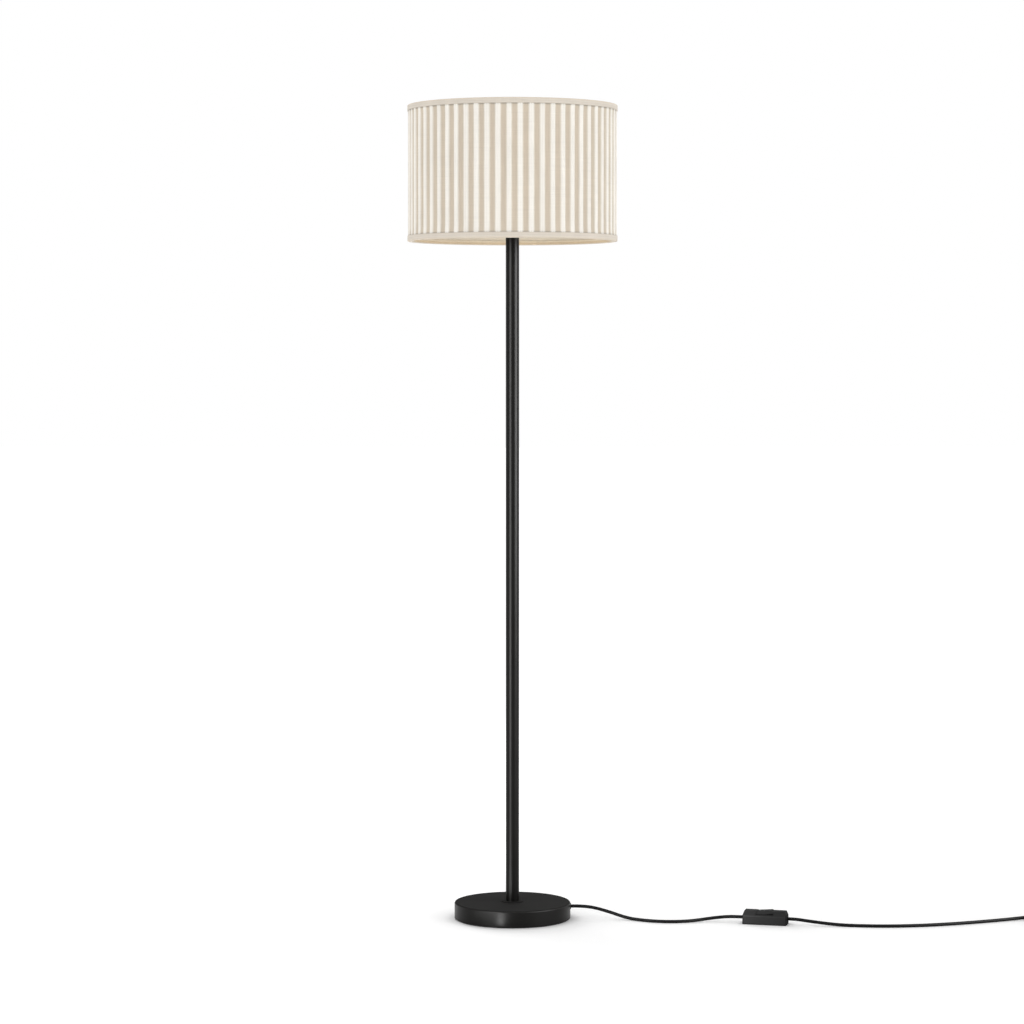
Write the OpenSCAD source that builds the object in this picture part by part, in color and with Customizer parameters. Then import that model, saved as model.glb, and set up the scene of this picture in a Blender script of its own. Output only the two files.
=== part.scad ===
// Floor lamp: a pleated drum shade on a slim tube pole and a heavy disc base,
// with a rocker switch on its cord. Millimetres, +Z up. The origin is the centre
// of the base's underside, -Y is the front, and the cord leaves towards +X.

/* [Overall] */
// Height from the floor to the top edge of the shade
overall_h = 1475; // [1300:5:1600]

/* [Base] */
// Diameter of the disc base
base_d = 211; // [195:1:250]
// Height of the base with its pad
base_h = 30.5; // [28:0.5:36]
// Sheet thickness of the base cover
cover_t = 1.2; // [0.8:0.1:1.5]
// Radius of the cover's top edge
cover_edge_r = 3; // [2:0.5:4]
// Thickness of the non-slip pad
pad_t = 2; // [1:0.5:2.5]
// How far the pad stands in from the edge
pad_inset = 3; // [1:0.5:8]
// Diameter of the nut pocket under the weight
pocket_d = 70; // [56:1:80]
// Thickness of the weight's web over the pocket
web_t = 3; // [2:0.5:3.5]
// Diameter of the thin ring at the pole's foot
foot_ring_d = 39; // [32:1:60]
// Thickness of that ring
foot_ring_t = 1.5; // [1:0.1:3]
// Outside diameter of the washer under the web
washer_d = 40; // [24:1:50]
// Thickness of that washer
washer_t = 1.5; // [1:0.1:2]
// Width across the flats of the nut
nut_af = 14; // [13:0.5:18]
// Height of the nut
nut_h = 4; // [3:0.5:5]

/* [Pole] */
// Outside diameter of the pole
pole_d = 24.4; // [22:0.1:28]
// Wall of the pole's tubes
pole_wall = 1.2; // [0.8:0.1:2]
// Length of the coupler inside each joint
coupler_l = 50; // [30:1:80]
// Length of the plug in the pole's foot
foot_plug_l = 16; // [12:1:30]
// Length of the plug in the pole's top
top_plug_l = 14; // [10:1:30]
// Thickness of the top plug's flange
top_flange_t = 3; // [2:0.5:5]
// Outside diameter of the threaded stud and nipple
stud_d = 10; // [9.6:0.1:11]

/* [Shade] */
// Diameter of the shade across its trim bands
shade_d = 380; // [340:1:440]
// Height of the shade
shade_h = 245; // [200:1:300]
// Number of pleats round the shade
pleat_count = 60; // [48:1:66]
// How far a pleat stands out from the valley beside it
pleat_depth = 3.8; // [2:0.1:5]
// Share of the pitch that the raised pleat takes
pleat_share = 0.49; // [0.4:0.01:0.6]
// Angle of the nearest pleat from the front, in degrees
pleat_turn = -1.85; // [-3:0.05:3]
// Thickness of the pleated cloth
cloth_t = 1; // [0.6:0.1:1.4]
// Thickness of the stiff liner
liner_t = 0.8; // [0.5:0.1:1.5]
// Thickness of the trim bands
trim_t = 0.8; // [0.5:0.1:1.5]
// Height of the trim bands on the outside
trim_h = 10; // [8.5:0.5:20]
// Height of the trim bands where they turn in
trim_turn_h = 8; // [6:0.5:16]
// Wire of the two rings
ring_wire_d = 3; // [2.5:0.1:5]
// Width of the fitter's arms, which are flat strip
arm_w = 5; // [3:0.1:8]
// Thickness of that strip
arm_t = 2.5; // [1.5:0.1:3]
// How far the fitter's hub lies below the shade's top edge
hub_drop = 150; // [135:1:170]
// Angle of the first arm from +X, in degrees
arm_turn = 90; // [80:1:100]
// Number of arms
arm_count = 3; // [3]
// Length of an arm's level end at the ring
arm_level_l = 14; // [8:1:25]
// Thickness of the fitter's hub
hub_t = 3; // [2:0.5:4]
// Width of the hub's and the shade rings' rim round the lampholder
hub_rim = 6.5; // [5:0.5:10]

/* [Lampholder] */
// Outside diameter of the threaded skirt
skirt_d = 39.5; // [38:0.1:42]
// Wall of the skirt
skirt_wall = 2.75; // [2.3:0.05:3.5]
// Height of the skirt above the cap
skirt_h = 38; // [36:1:44]
// Outside diameter of the cap
holder_cap_d = 43; // [41:0.5:50]
// Height of the cap
holder_cap_h = 18; // [17:0.5:24]
// Thickness of the cap's floor
holder_floor_t = 3; // [2:0.5:5]
// Thickness of the insulating insert
insulator_t = 10; // [8:0.5:12]
// Thickness of each shade ring
shade_ring_t = 5; // [4:0.5:7]
// Sheet thickness of the screw shell
screw_shell_t = 0.5; // [0.4:0.1:0.8]

/* [Bulb] */
// Diameter of the bulb's globe
globe_d = 60; // [56:1:66]
// Wall of the globe
globe_wall = 1; // [0.8:0.1:1.5]
// Outside diameter of the screw cap
bulb_cap_d = 26.2; // [25.8:0.1:26.6]
// Height of the screw cap
bulb_cap_h = 24; // [22:0.5:26]
// Height of the body between cap and globe
bulb_body_h = 25; // [18:1:30]
// Diameter of the body where the globe sits
bulb_neck_d = 44; // [36:1:50]

/* [Cord] */
// Diameter of the cord
cord_d = 6; // [5.6:0.1:6.4]
// Height of the cord where it leaves the base
exit_z = 22; // [21.5:0.1:22.2]
// Outside diameter of the bush in the base's side
bush_d = 9; // [8:0.1:10]
// Diameter of the bush's outer rim
bush_rim_d = 11; // [10.4:0.1:13]
// Thickness of that rim
bush_rim_t = 1; // [0.6:0.1:1.6]
// Distance of the cord clamp from the base's edge
clamp_inset = 19.5; // [17.5:0.5:23]
// Thickness of the clamp's plate
clamp_plate_t = 2; // [1.5:0.1:3]
// Diameter of the clamp's screws
clamp_screw_d = 3; // [2.5:0.1:3.5]

/* [Coil] */
// Radius of the coil's inmost turn
coil_inner_r = 25; // [24:0.5:32]
// Turns in each of the two layers
coil_layer_turns = 2.5; // [2.5:1:4.5]
// Distance from turn to turn and from layer to layer
coil_pitch = 7; // [6.8:0.1:8]
// Thickness of the tie
tie_t = 1; // [0.6:0.1:1.1]
// Width of the tie
tie_w = 9; // [6:1:14]

/* [Switch] */
// Length of the switch
switch_l = 80; // [76:1:95]
// Width of the switch
switch_w = 30; // [27:0.5:40]
// Height of the switch
switch_h = 24; // [22.5:0.1:25]
// Height of its parting line, where the cord goes in
switch_part_z = 10.5; // [10.3:0.1:11]
// Height where its sides start to slope in
switch_bevel_z = 15; // [12:0.5:18]
// How far the long sides slope in
switch_bevel_w = 5; // [2:0.5:6]
// Wall of the switch's case
switch_wall = 2; // [1.5:0.1:2.4]
// Half the length of the rocker's opening at the case's top
rocker_half_l = 13.9; // [13:0.1:14.4]
// Width of the rocker's body, between its bearings
rocker_w = 14; // [12:0.5:15]
// Height down to which the rocker's opening cuts into the sloping sides
rocker_lip_z = 17.4; // [17:0.1:18]
// Angle from one stop to the other
rocker_swing = 9; // [8:1:14]
// Height of the rocker's pivot
rocker_pivot_z = 15; // [14.8:0.1:15.4]
// Diameter of the rocker's pivot stubs
rocker_pin_d = 3; // [2.5:0.1:3.5]
// Gap between the rocker and the case
rocker_gap = 0.35; // [0.3:0.05:0.5]
// Diameter of the case screws
case_screw_d = 3; // [2.5:0.1:3.2]
// Distance of the case screws from the middle
case_screw_x = 21.5; // [21:0.1:22.5]

/* [Plug] */
// Length of the plug's body
plug_l = 36; // [30:1:45]
// Width of the plug's body at its pins
plug_w = 34; // [30:1:40]
// Thickness of the plug's body
plug_t = 13.7; // [12:0.1:16]
// Diameter of the pins
pin_d = 4; // [3.8:0.1:4.8]
// Length of the pins outside the body
pin_l = 19; // [16:1:22]
// Distance between the pins
pin_gap = 18.5; // [16:0.5:20]
// Length of each pin's sleeve
sleeve_l = 10; // [6:1:12]
// Length of the plug's strain relief
relief_l = 22; // [20:1:40]

/* [Hidden] */
$fn = 96;

// Clearances
seat_gap = 0.1;
thread_gap = 0.1;
loose_gap = 0.3;
skin_gap = 0.15;

// Heights of the pole and what stands on it
foot_z = base_h + foot_ring_t;
hub_z = overall_h - hub_drop;
holder_z = hub_z - holder_cap_h - skirt_h / 2;
pole_top = holder_z - top_flange_t;
section_count = 3;
section_l = (pole_top - foot_z) / section_count;
pole_bore = pole_d - 2 * pole_wall;
stud_bore = cord_d + 1.4;
stud_end_drop = 0.5;

// Base, from the cover's underside down
base_r = base_d / 2;
cover_under = base_h - cover_t;
weight_r = base_r - cover_t - loose_gap;
web_under = cover_under - web_t;
nut_top = web_under - washer_t;
stud_end = nut_top - nut_h - stud_end_drop;
channel_w = cord_d + 3;
channel_top = exit_z + cord_d / 2 + seat_gap;
clamp_x = base_r - clamp_inset;
clamp_l = 10;
clamp_w = channel_w + 21;
clamp_screw_y = channel_w / 2 + 5.5;
clamp_head_h = 2;
clamp_plate_top = pad_t + 0.5 + clamp_head_h + clamp_plate_t;
clamp_screw_l = 8;
bush_l = 6;

// Shade
shade_bottom = overall_h - shade_h;
cloth_top = overall_h - trim_t - seat_gap;
cloth_bottom = shade_bottom + trim_t + seat_gap;
ridge_r = shade_d / 2 - trim_t - seat_gap;
valley_r = ridge_r - pleat_depth;
pitch_a = 360 / pleat_count;
ridge_half_a = pitch_a * pleat_share / 2;
fold_a = 0.35;
cloth_a = cloth_t / ridge_r * 180 / PI;
shoulder_drop = 0.35 * pleat_depth;
valley_flat_a = pitch_a - 2 * ridge_half_a - 2 * fold_a + 2 * cloth_a;
liner_outer = (valley_r - cloth_t) * cos(valley_flat_a / 2) - skin_gap;
liner_inner = liner_outer - liner_t;
ring_r = liner_inner - seat_gap - ring_wire_d / 2;
ring_top_z = cloth_top - ring_wire_d / 2;
ring_bottom_z = cloth_bottom + ring_wire_d / 2;
arm_z = cloth_top - arm_t / 2;
trim_inner = ring_r - ring_wire_d / 2 - seat_gap - trim_t;
hub_inner = skirt_d / 2 + loose_gap;
hub_outer = skirt_d / 2 + hub_rim;

// Lampholder, upwards from its seat on the pole
ledge_rise = 12;
ledge_z = holder_z + ledge_rise;
insulator_top = ledge_z + insulator_t;
skirt_z = holder_z + holder_cap_h;
skirt_top = skirt_z + skirt_h;
skirt_bore = skirt_d - 2 * skirt_wall;
skirt_neck_d = skirt_bore + 1.8;
cap_bore = skirt_neck_d + 2 * thread_gap;
ledge_bore = skirt_bore - 4;
insulator_d = skirt_bore - 2 * thread_gap;
screw_shell_bore = bulb_cap_d + 2 * 0.4;
screw_shell_d = screw_shell_bore + 2 * screw_shell_t;
lip_h = 9.5;
screw_shell_top = skirt_top - lip_h;
nipple_rise = 9;
nipple_top = holder_z + nipple_rise;
holder_screw_d = 3;
holder_screw_x = 9;
holder_screw_l = 8;
contact_rise = 4;

// Bulb, upwards from its tip
tip_z = insulator_top + contact_rise + loose_gap;
bulb_cap_z = tip_z + 3.2;
bulb_cap_top = bulb_cap_z + bulb_cap_h;
bulb_body_top = bulb_cap_top + bulb_body_h;
bulb_cap_wall = 0.8;
bulb_plug_r = bulb_cap_d / 2 - bulb_cap_wall - seat_gap;
globe_r = globe_d / 2;
globe_z = bulb_body_top + sqrt(pow(globe_r, 2) - pow(bulb_neck_d / 2, 2));

// Switch: place on the floor, and turn from +X
switch_x = 456;
switch_y = -57;
switch_turn = -14;
switch_end_bevel = 3;
switch_corner = 2.5;
switch_hole_d = cord_d + 2 * loose_gap;
rocker_top_rise = switch_h - rocker_pivot_z;
rocker_bay_r = sqrt(pow(rocker_half_l, 2) + pow(rocker_top_rise, 2));
rocker_r = rocker_bay_r - rocker_gap;
rocker_mid_z = 9.35;
rocker_under_z = -1.3;
rocker_nose_r = 6.8;
rocker_tilt = rocker_swing / 2;
rocker_edge_a = 35.4;
rocker_low_a = -5;
wing_mid_z = 3.6;
wing_low_a = 17;
wing_over_z = 1;
nose_w = 4;
bearing_l = 2;
bearing_w = 8;
bearing_drop = 3.4;
bridge_x = -12;
bridge_l = 4;
bridge_t = 1.3;
bridge_w = 12;
post_d = 7;
grip_x = 31;
grip_l = 5;
rib_w = 6;
rib_t = 3;
head_d = 5.8;
head_h = 2;
head_gap = 0.2;
head_sink = 0.4;
thread_depth = 7.5;
link_l = 30;
link_w = 3;
link_h = 4;
link_y = 8.2;
contact_l = 3;
contact_w = 2.4;
contact_y = 4.6;
spring_t = 0.4;
spring_w = 3.6;
spring_reach = 10;

// The cord's free routes, as points on its centreline. They end in the bush,
// in the switch and at the coil.
TO_SWITCH = [
    [106.5, 0, 22], [116, 0, 22], [128, -0.4, 21.6], [140, -1, 20.5], [154, -2.4, 18],
    [167, -4.6, 14.8], [180, -8, 11.4], [192, -12.6, 8], [205, -19, 5], [217, -26, 3.5],
    [229, -33, 3], [246, -43, 3], [264, -49.6, 3], [282, -52, 3], [300, -51, 3],
    [318, -46.5, 3.1], [337, -39.6, 3.8], [355, -35, 5.4], [373, -34, 7.4], [391, -38, 9.4],
    [404, -43.9, 10.4], [411.4, -45.9, 10.5], [417.2, -47.3, 10.5], [429.3, -50.3, 10.5]
];
FROM_SWITCH = [
    [482.7, -63.7, 10.5], [494.8, -66.7, 10.5], [500.6, -68.1, 10.5], [512, -71, 10.1],
    [532, -75.5, 8], [549, -78.4, 6.2], [566, -81.6, 4.6], [584, -85.8, 3.5],
    [602, -89.6, 3], [637, -95, 3], [672, -96.8, 3], [708, -94, 3], [744, -87.6, 3],
    [781, -77.4, 3], [819, -64.2, 3], [857, -48.8, 3], [895, -32.2, 3.2], [919, -21.8, 3.6],
    [938, -13.4, 4]
];

// Coil: its centre on the floor, and the angle where it starts
coil_x = 982;
coil_y = -40;
coil_start_a = 114;
coil_rings = 24;
coil_sides = 6;
coil_z = cord_d / 2 + tie_t + 0.2;
coil_outer_r = coil_inner_r + coil_pitch * coil_layer_turns;
tie_a = 292;

// Plug: the point where the cord enters its strain relief, and its turn
plug_x = 1001;
plug_y = 15;
plug_turn = 25;
plug_z = plug_t / 2;
relief_d = 11;
relief_end_d = 8;
relief_hole_d = cord_d + 0.3;
relief_grip_l = 16;
pin_core_d = 3;
pin_root_l = 8;

// Helpers
function unit(v) = v / norm(v);
function tangent_at(p, i) =
    i == 0 ? unit(p[1] - p[0]) :
    i == len(p) - 1 ? unit(p[i] - p[i - 1]) :
    unit(unit(p[i + 1] - p[i]) + unit(p[i] - p[i - 1]));
function ring_at(p, i, r, sides, ref) =
    let (t = tangent_at(p, i), u = unit(cross(ref, t)), v = cross(t, u))
    [for (k = [0:sides - 1])
        let (a = 360 * k / sides + 90)
        p[i] + r * (cos(a) * u + sin(a) * v)];

// A tube swept along the points p, closed at both ends
module tube(p, d, sides, ref = [0, 0, 1]) {
    last = len(p) - 1;
    rings = [for (i = [0:last]) each ring_at(p, i, d / 2, sides, ref)];
    walls = [for (i = [0:last - 1], k = [0:sides - 1])
        let (a = i * sides + k, b = i * sides + (k + 1) % sides)
        each [[a, a + sides, b], [b, a + sides, b + sides]]];
    start = [for (k = [1:sides - 2]) [0, k, k + 1]];
    end = [for (k = [1:sides - 2]) [last * sides, last * sides + k + 1, last * sides + k]];
    polyhedron(points = rings, faces = concat(walls, start, end));
}

// A filled outline for turned parts: radius r, height h, top edge rounded by e
module rounded_disc_outline(r, h, e) {
    square([r - e, h]);
    square([r, h - e]);
    translate([r - e, h - e]) circle(e, $fn = 48);
}

module ring(outer_d, inner_d, h) {
    difference() {
        cylinder(d = outer_d, h = h);
        translate([0, 0, -1]) cylinder(d = inner_d, h = h + 2);
    }
}

module wire_ring(r, d) {
    rotate_extrude() translate([r, 0]) circle(d = d, $fn = 32);
}

// Base
module base_pad() {
    color("#2a2a2a") cylinder(d = base_d - 2 * pad_inset, h = pad_t);
}

module base_cover() {
    rise = base_h - pad_t;
    color("#333231") difference() {
        translate([0, 0, pad_t]) rotate_extrude() difference() {
            rounded_disc_outline(base_r, rise, cover_edge_r);
            rounded_disc_outline(base_r - cover_t, rise - cover_t, cover_edge_r - cover_t);
        }
        translate([0, 0, cover_under - 1])
            cylinder(d = stud_d + 2 * thread_gap, h = cover_t + 2);
        translate([base_r - bush_l, 0, exit_z]) rotate([0, 90, 0])
            cylinder(d = bush_d + 2 * seat_gap, h = bush_l + 1);
    }
}

module base_weight() {
    height = cover_under - pad_t;
    recess = clamp_plate_top - pad_t;
    color("#5b5d60") difference() {
        translate([0, 0, pad_t]) rotate_extrude()
            rounded_disc_outline(weight_r, height, cover_edge_r);
        translate([0, 0, pad_t - 1]) cylinder(d = pocket_d, h = height - web_t + 1);
        cylinder(d = stud_d + 2 * loose_gap, h = base_h);
        translate([pocket_d / 2 - 2, -channel_w / 2, pad_t - 1])
            cube([weight_r - pocket_d / 2 + 3, channel_w, channel_top - pad_t + 1]);
        translate([weight_r - bush_l, 0, exit_z]) rotate([0, 90, 0])
            cylinder(d = bush_d + 2 * loose_gap, h = bush_l + 1);
        translate([clamp_x - clamp_l / 2 - loose_gap, -clamp_w / 2 - loose_gap, pad_t - 1])
            cube([clamp_l + 2 * loose_gap, clamp_w + 2 * loose_gap, recess + 1]);
        for (side = [-1, 1])
            translate([clamp_x, side * clamp_screw_y, pad_t])
                cylinder(d = clamp_screw_d + 2 * thread_gap, h = recess + clamp_screw_l + 0.5);
    }
}

module base_washer() {
    color("#a9adb0") translate([0, 0, nut_top])
        ring(washer_d, stud_d + 2 * loose_gap, washer_t);
}

module base_nut() {
    color("#b4a36a") translate([0, 0, nut_top - nut_h]) difference() {
        cylinder(d = nut_af / cos(30), h = nut_h, $fn = 6);
        translate([0, 0, -1]) cylinder(d = stud_d + 2 * thread_gap, h = nut_h + 2);
    }
}

module base_stud() {
    color("#b9bcc0") translate([0, 0, stud_end])
        ring(stud_d, stud_bore, foot_z + foot_plug_l - 1 - stud_end);
}

module cord_bush() {
    color("#1c1c1c") difference() {
        union() {
            translate([base_r - bush_l + 1, 0, exit_z]) rotate([0, 90, 0])
                cylinder(d = bush_d, h = bush_l - 1);
            translate([base_r, 0, exit_z]) rotate([0, 90, 0])
                cylinder(d = bush_rim_d, h = bush_rim_t);
        }
        translate([base_r - bush_l, 0, exit_z]) rotate([0, 90, 0])
            cylinder(d = cord_d + 2 * seat_gap, h = bush_l + bush_rim_t + 1);
    }
}

module cord_clamp() {
    tongue_top = exit_z - cord_d / 2 - seat_gap;
    tongue_w = channel_w - 2 * loose_gap;
    color("#2f2f2f") difference() {
        union() {
            translate([clamp_x - clamp_l / 2, -clamp_w / 2, clamp_plate_top - clamp_plate_t])
                cube([clamp_l, clamp_w, clamp_plate_t]);
            translate([clamp_x - clamp_l / 2, -tongue_w / 2, clamp_plate_top - 0.5])
                cube([clamp_l, tongue_w, tongue_top - clamp_plate_top + 0.5]);
        }
        for (side = [-1, 1])
            translate([clamp_x, side * clamp_screw_y, 0])
                cylinder(d = clamp_screw_d + 2 * loose_gap, h = base_h);
    }
}

module cord_clamp_screws() {
    under = clamp_plate_top - clamp_plate_t;
    color("#a9adb0") for (side = [-1, 1]) translate([clamp_x, side * clamp_screw_y, 0]) {
        translate([0, 0, under - clamp_head_h]) cylinder(d = head_d, h = clamp_head_h);
        translate([0, 0, under]) cylinder(d = clamp_screw_d, h = clamp_plate_t + clamp_screw_l);
    }
}

// The cord inside the lamp: from the bush down under the stud and up the pole
module inner_cord() {
    bend_r = 12;
    low_z = stud_end - bend_r - 0.3;
    out = [base_r + bush_rim_t, 0, exit_z];
    start = [clamp_x - clamp_l / 2 - 3, 0, exit_z];
    slope = [for (k = [1:5])
        let (f = k / 6, ease = (1 - cos(180 * f)) / 2)
        [start[0] + (bend_r + 6 - start[0]) * f, 0, exit_z + (low_z - exit_z) * ease]];
    bend = [for (a = [0:18:90]) [bend_r - bend_r * sin(a), 0, low_z + bend_r * (1 - cos(a))]];
    top = [[0, 0, foot_z + foot_plug_l], [0, 0, nipple_top]];
    color("#1d1d1d")
        tube(concat([out, start], slope, [[bend_r + 6, 0, low_z]], bend, top), cord_d, 10, [0, 1, 0]);
}

// Pole
module pole_foot_ring() {
    color("#2b2a29") translate([0, 0, base_h]) difference() {
        rotate_extrude() rounded_disc_outline(foot_ring_d / 2, foot_ring_t, 0.6);
        translate([0, 0, -1]) cylinder(d = stud_d + 2 * loose_gap, h = foot_ring_t + 2);
    }
}

module pole_foot_plug() {
    color("#9a9da0") translate([0, 0, foot_z])
        ring(pole_bore - 2 * thread_gap, stud_d + 2 * thread_gap, foot_plug_l);
}

module pole_section(k) {
    color("#262524") translate([0, 0, foot_z + k * section_l])
        ring(pole_d, pole_bore, section_l);
}

module pole_lower() {
    pole_section(0);
}

module pole_middle() {
    pole_section(1);
}

module pole_upper() {
    pole_section(2);
}

module coupler(k) {
    color("#9a9da0") translate([0, 0, foot_z + k * section_l - coupler_l / 2])
        ring(pole_bore - 2 * thread_gap, cord_d + 1.6, coupler_l);
}

module pole_coupler_lower() {
    coupler(1);
}

module pole_coupler_upper() {
    coupler(2);
}

module pole_top_plug() {
    color("#262524") translate([0, 0, pole_top]) difference() {
        union() {
            translate([0, 0, -top_plug_l])
                cylinder(d = pole_bore - 2 * thread_gap, h = top_plug_l);
            cylinder(d = pole_d, h = top_flange_t);
        }
        translate([0, 0, -top_plug_l - 1])
            cylinder(d = stud_d + 2 * thread_gap, h = top_plug_l + top_flange_t + 2);
    }
}

module pole_top_nipple() {
    color("#b9bcc0") translate([0, 0, pole_top - top_plug_l])
        ring(stud_d, stud_bore, nipple_top - pole_top + top_plug_l);
}

// Lampholder
module lampholder_cap() {
    color("#1b1b1b") translate([0, 0, holder_z]) difference() {
        cylinder(d = holder_cap_d, h = holder_cap_h);
        translate([0, 0, -1]) cylinder(d = stud_d + 2 * thread_gap, h = holder_cap_h);
        translate([0, 0, holder_floor_t]) cylinder(d = ledge_bore, h = holder_cap_h);
        translate([0, 0, ledge_rise]) cylinder(d = cap_bore, h = holder_cap_h);
    }
}

module lampholder_insulator() {
    color("#e8e4da") translate([0, 0, ledge_z]) difference() {
        cylinder(d = insulator_d, h = insulator_t);
        for (side = [-1, 1]) translate([side * holder_screw_x, 0, -1])
            cylinder(d = holder_screw_d + 2 * thread_gap, h = insulator_t + 2);
    }
}

module lampholder_skirt() {
    color("#1b1b1b") difference() {
        union() {
            translate([0, 0, skirt_z]) cylinder(d = skirt_d, h = skirt_h);
            translate([0, 0, ledge_z]) cylinder(d = skirt_neck_d, h = skirt_z - ledge_z + 1);
        }
        translate([0, 0, ledge_z - 1])
            cylinder(d = skirt_bore, h = screw_shell_top - ledge_z + 1 + seat_gap);
        translate([0, 0, ledge_z - 1])
            cylinder(d = screw_shell_bore + 1.8, h = skirt_top - ledge_z + 2);
    }
}

module lampholder_screw_shell() {
    color("#c9a94e") translate([0, 0, insulator_top])
        ring(screw_shell_d, screw_shell_bore, screw_shell_top - insulator_top);
}

module lampholder_contact() {
    blade_l = 16;
    blade_w = 6;
    blade_t = 0.6;
    color("#c9a94e") translate([-blade_l / 2, blade_w / 2, insulator_top]) rotate([90, 0, 0])
        linear_extrude(blade_w) polygon([
            [0, 0], [5, 0], [blade_l / 2, contact_rise - blade_t], [blade_l - 4, contact_rise - blade_t],
            [blade_l - 4, contact_rise], [blade_l / 2 - 0.4, contact_rise], [4.6, blade_t], [0, blade_t]
        ]);
}

module lampholder_screws() {
    head = 2.4;
    color("#c9a94e") for (side = [-1, 1]) translate([side * holder_screw_x, 0, ledge_z]) {
        translate([0, 0, -head]) cylinder(d = 5.4, h = head);
        cylinder(d = holder_screw_d, h = holder_screw_l);
    }
}

module shade_ring_lower() {
    color("#1b1b1b") translate([0, 0, hub_z - hub_t / 2 - shade_ring_t])
        ring(2 * hub_outer, skirt_d + 2 * thread_gap, shade_ring_t);
}

module shade_ring_upper() {
    color("#1b1b1b") translate([0, 0, hub_z + hub_t / 2])
        ring(2 * hub_outer, skirt_d + 2 * thread_gap, shade_ring_t);
}

// Bulb
module bulb_tip() {
    color("#2d2d30") translate([0, 0, tip_z]) rotate_extrude() polygon([
        [0, 0], [4.5, 0], [5, 1], [bulb_plug_r - 1.4, 2.7], [bulb_plug_r, 3.8],
        [bulb_plug_r, 6.5], [0, 6.5]
    ]);
}

module bulb_cap() {
    color("#c7c8c9") translate([0, 0, bulb_cap_z])
        ring(bulb_cap_d, bulb_cap_d - 2 * bulb_cap_wall, bulb_cap_h);
}

module bulb_body() {
    color("#f1efe9") {
        translate([0, 0, bulb_cap_top - 8]) cylinder(r = bulb_plug_r, h = 9);
        translate([0, 0, bulb_cap_top]) rotate_extrude() polygon([
            [0, 0], [bulb_cap_d / 2, 0], [bulb_cap_d / 2 + 1.5, 4],
            [bulb_neck_d / 2, bulb_body_h - 3], [bulb_neck_d / 2, bulb_body_h], [0, bulb_body_h]
        ]);
    }
}

module bulb_globe() {
    color("#f7f4ec") translate([0, 0, globe_z]) difference() {
        sphere(r = globe_r);
        sphere(r = globe_r - globe_wall);
        translate([0, 0, bulb_body_top - globe_z - globe_d])
            cylinder(d = globe_d, h = globe_d);
    }
}

// Shade
// An arm of flat strip: out from the hub's plate, up, then level to the ring
module arm() {
    start_x = hub_outer + 3;
    rise_x = start_x + 4;
    bend_x = ring_r - ring_wire_d / 2 - seat_gap - arm_level_l;
    end_x = bend_x + arm_level_l;
    half_t = arm_t / 2;
    slope_a = atan2(arm_z - hub_z, bend_x - rise_x);
    lean = half_t * tan(slope_a / 2);
    translate([0, arm_w / 2, 0]) rotate([90, 0, 0]) linear_extrude(arm_w) polygon([
        [start_x, hub_z - half_t], [rise_x + lean, hub_z - half_t],
        [bend_x + lean, arm_z - half_t], [end_x, arm_z - half_t],
        [end_x, arm_z + half_t], [bend_x - lean, arm_z + half_t],
        [rise_x - lean, hub_z + half_t], [start_x, hub_z + half_t]
    ]);
}

module shade_fitter() {
    color("#e9e7e2") difference() {
        union() {
            translate([0, 0, hub_z - hub_t / 2]) cylinder(r = hub_outer + 5, h = hub_t);
            for (k = [0:arm_count - 1]) rotate(arm_turn + 360 * k / arm_count) arm();
        }
        translate([0, 0, hub_z - hub_t]) cylinder(r = hub_inner, h = 2 * hub_t);
    }
}

module shade_top_ring() {
    color("#e9e7e2") translate([0, 0, ring_top_z]) wire_ring(ring_r, ring_wire_d);
}

module shade_bottom_ring() {
    color("#e9e7e2") translate([0, 0, ring_bottom_z]) wire_ring(ring_r, ring_wire_d);
}

module shade_liner() {
    color("#efe3cf") translate([0, 0, cloth_bottom])
        ring(2 * liner_outer, 2 * liner_inner, cloth_top - cloth_bottom);
}

function on_circle(a, r) = [r * cos(a), r * sin(a)];

// Outline of the pleats. in is 0 for the outer face and 1 for the inner one.
function pleat_outline(in) = [
    for (k = [0:pleat_count - 1])
        let (
            mid = 270 + pleat_turn + k * pitch_a,
            foot = ridge_half_a + fold_a - in * cloth_a,
            shoulder = ridge_half_a - in * cloth_a,
            crown = ridge_half_a - fold_a - in * cloth_a,
            low = valley_r - in * cloth_t,
            high = ridge_r - in * cloth_t
        )
        each [
            on_circle(mid - foot, low), on_circle(mid - shoulder, high - shoulder_drop),
            on_circle(mid - crown, high), on_circle(mid + crown, high),
            on_circle(mid + shoulder, high - shoulder_drop), on_circle(mid + foot, low)
        ]
];

module shade_cover() {
    rise = cloth_top - cloth_bottom;
    color("#e9dfcf") translate([0, 0, cloth_bottom]) difference() {
        linear_extrude(rise) polygon(pleat_outline(0));
        translate([0, 0, -1]) linear_extrude(rise + 2) polygon(pleat_outline(1));
    }
}

// A trim band's section, as seen at the top edge: outside, over and turned in
module trim_outline() {
    outer = shade_d / 2;
    translate([outer - trim_t, -trim_h]) square([trim_t, trim_h]);
    translate([trim_inner, -trim_t]) square([outer - trim_inner, trim_t]);
    translate([trim_inner, -trim_turn_h]) square([trim_t, trim_turn_h]);
}

// Top edge of the shade, with notches where the fitter's arms come through
module shade_top_trim() {
    notch = arm_w + 2 * loose_gap;
    color("#ddd2c0") difference() {
        translate([0, 0, overall_h]) rotate_extrude() trim_outline();
        for (k = [0:arm_count - 1]) rotate(arm_turn + 360 * k / arm_count)
            translate([trim_inner - 1, -notch / 2, overall_h - trim_turn_h - 1])
                cube([trim_t + 1 + seat_gap / 2, notch, trim_turn_h + 1 - trim_t]);
    }
}

module shade_bottom_trim() {
    color("#ddd2c0") translate([0, 0, shade_bottom]) mirror([0, 0, 1])
        rotate_extrude() trim_outline();
}

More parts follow.
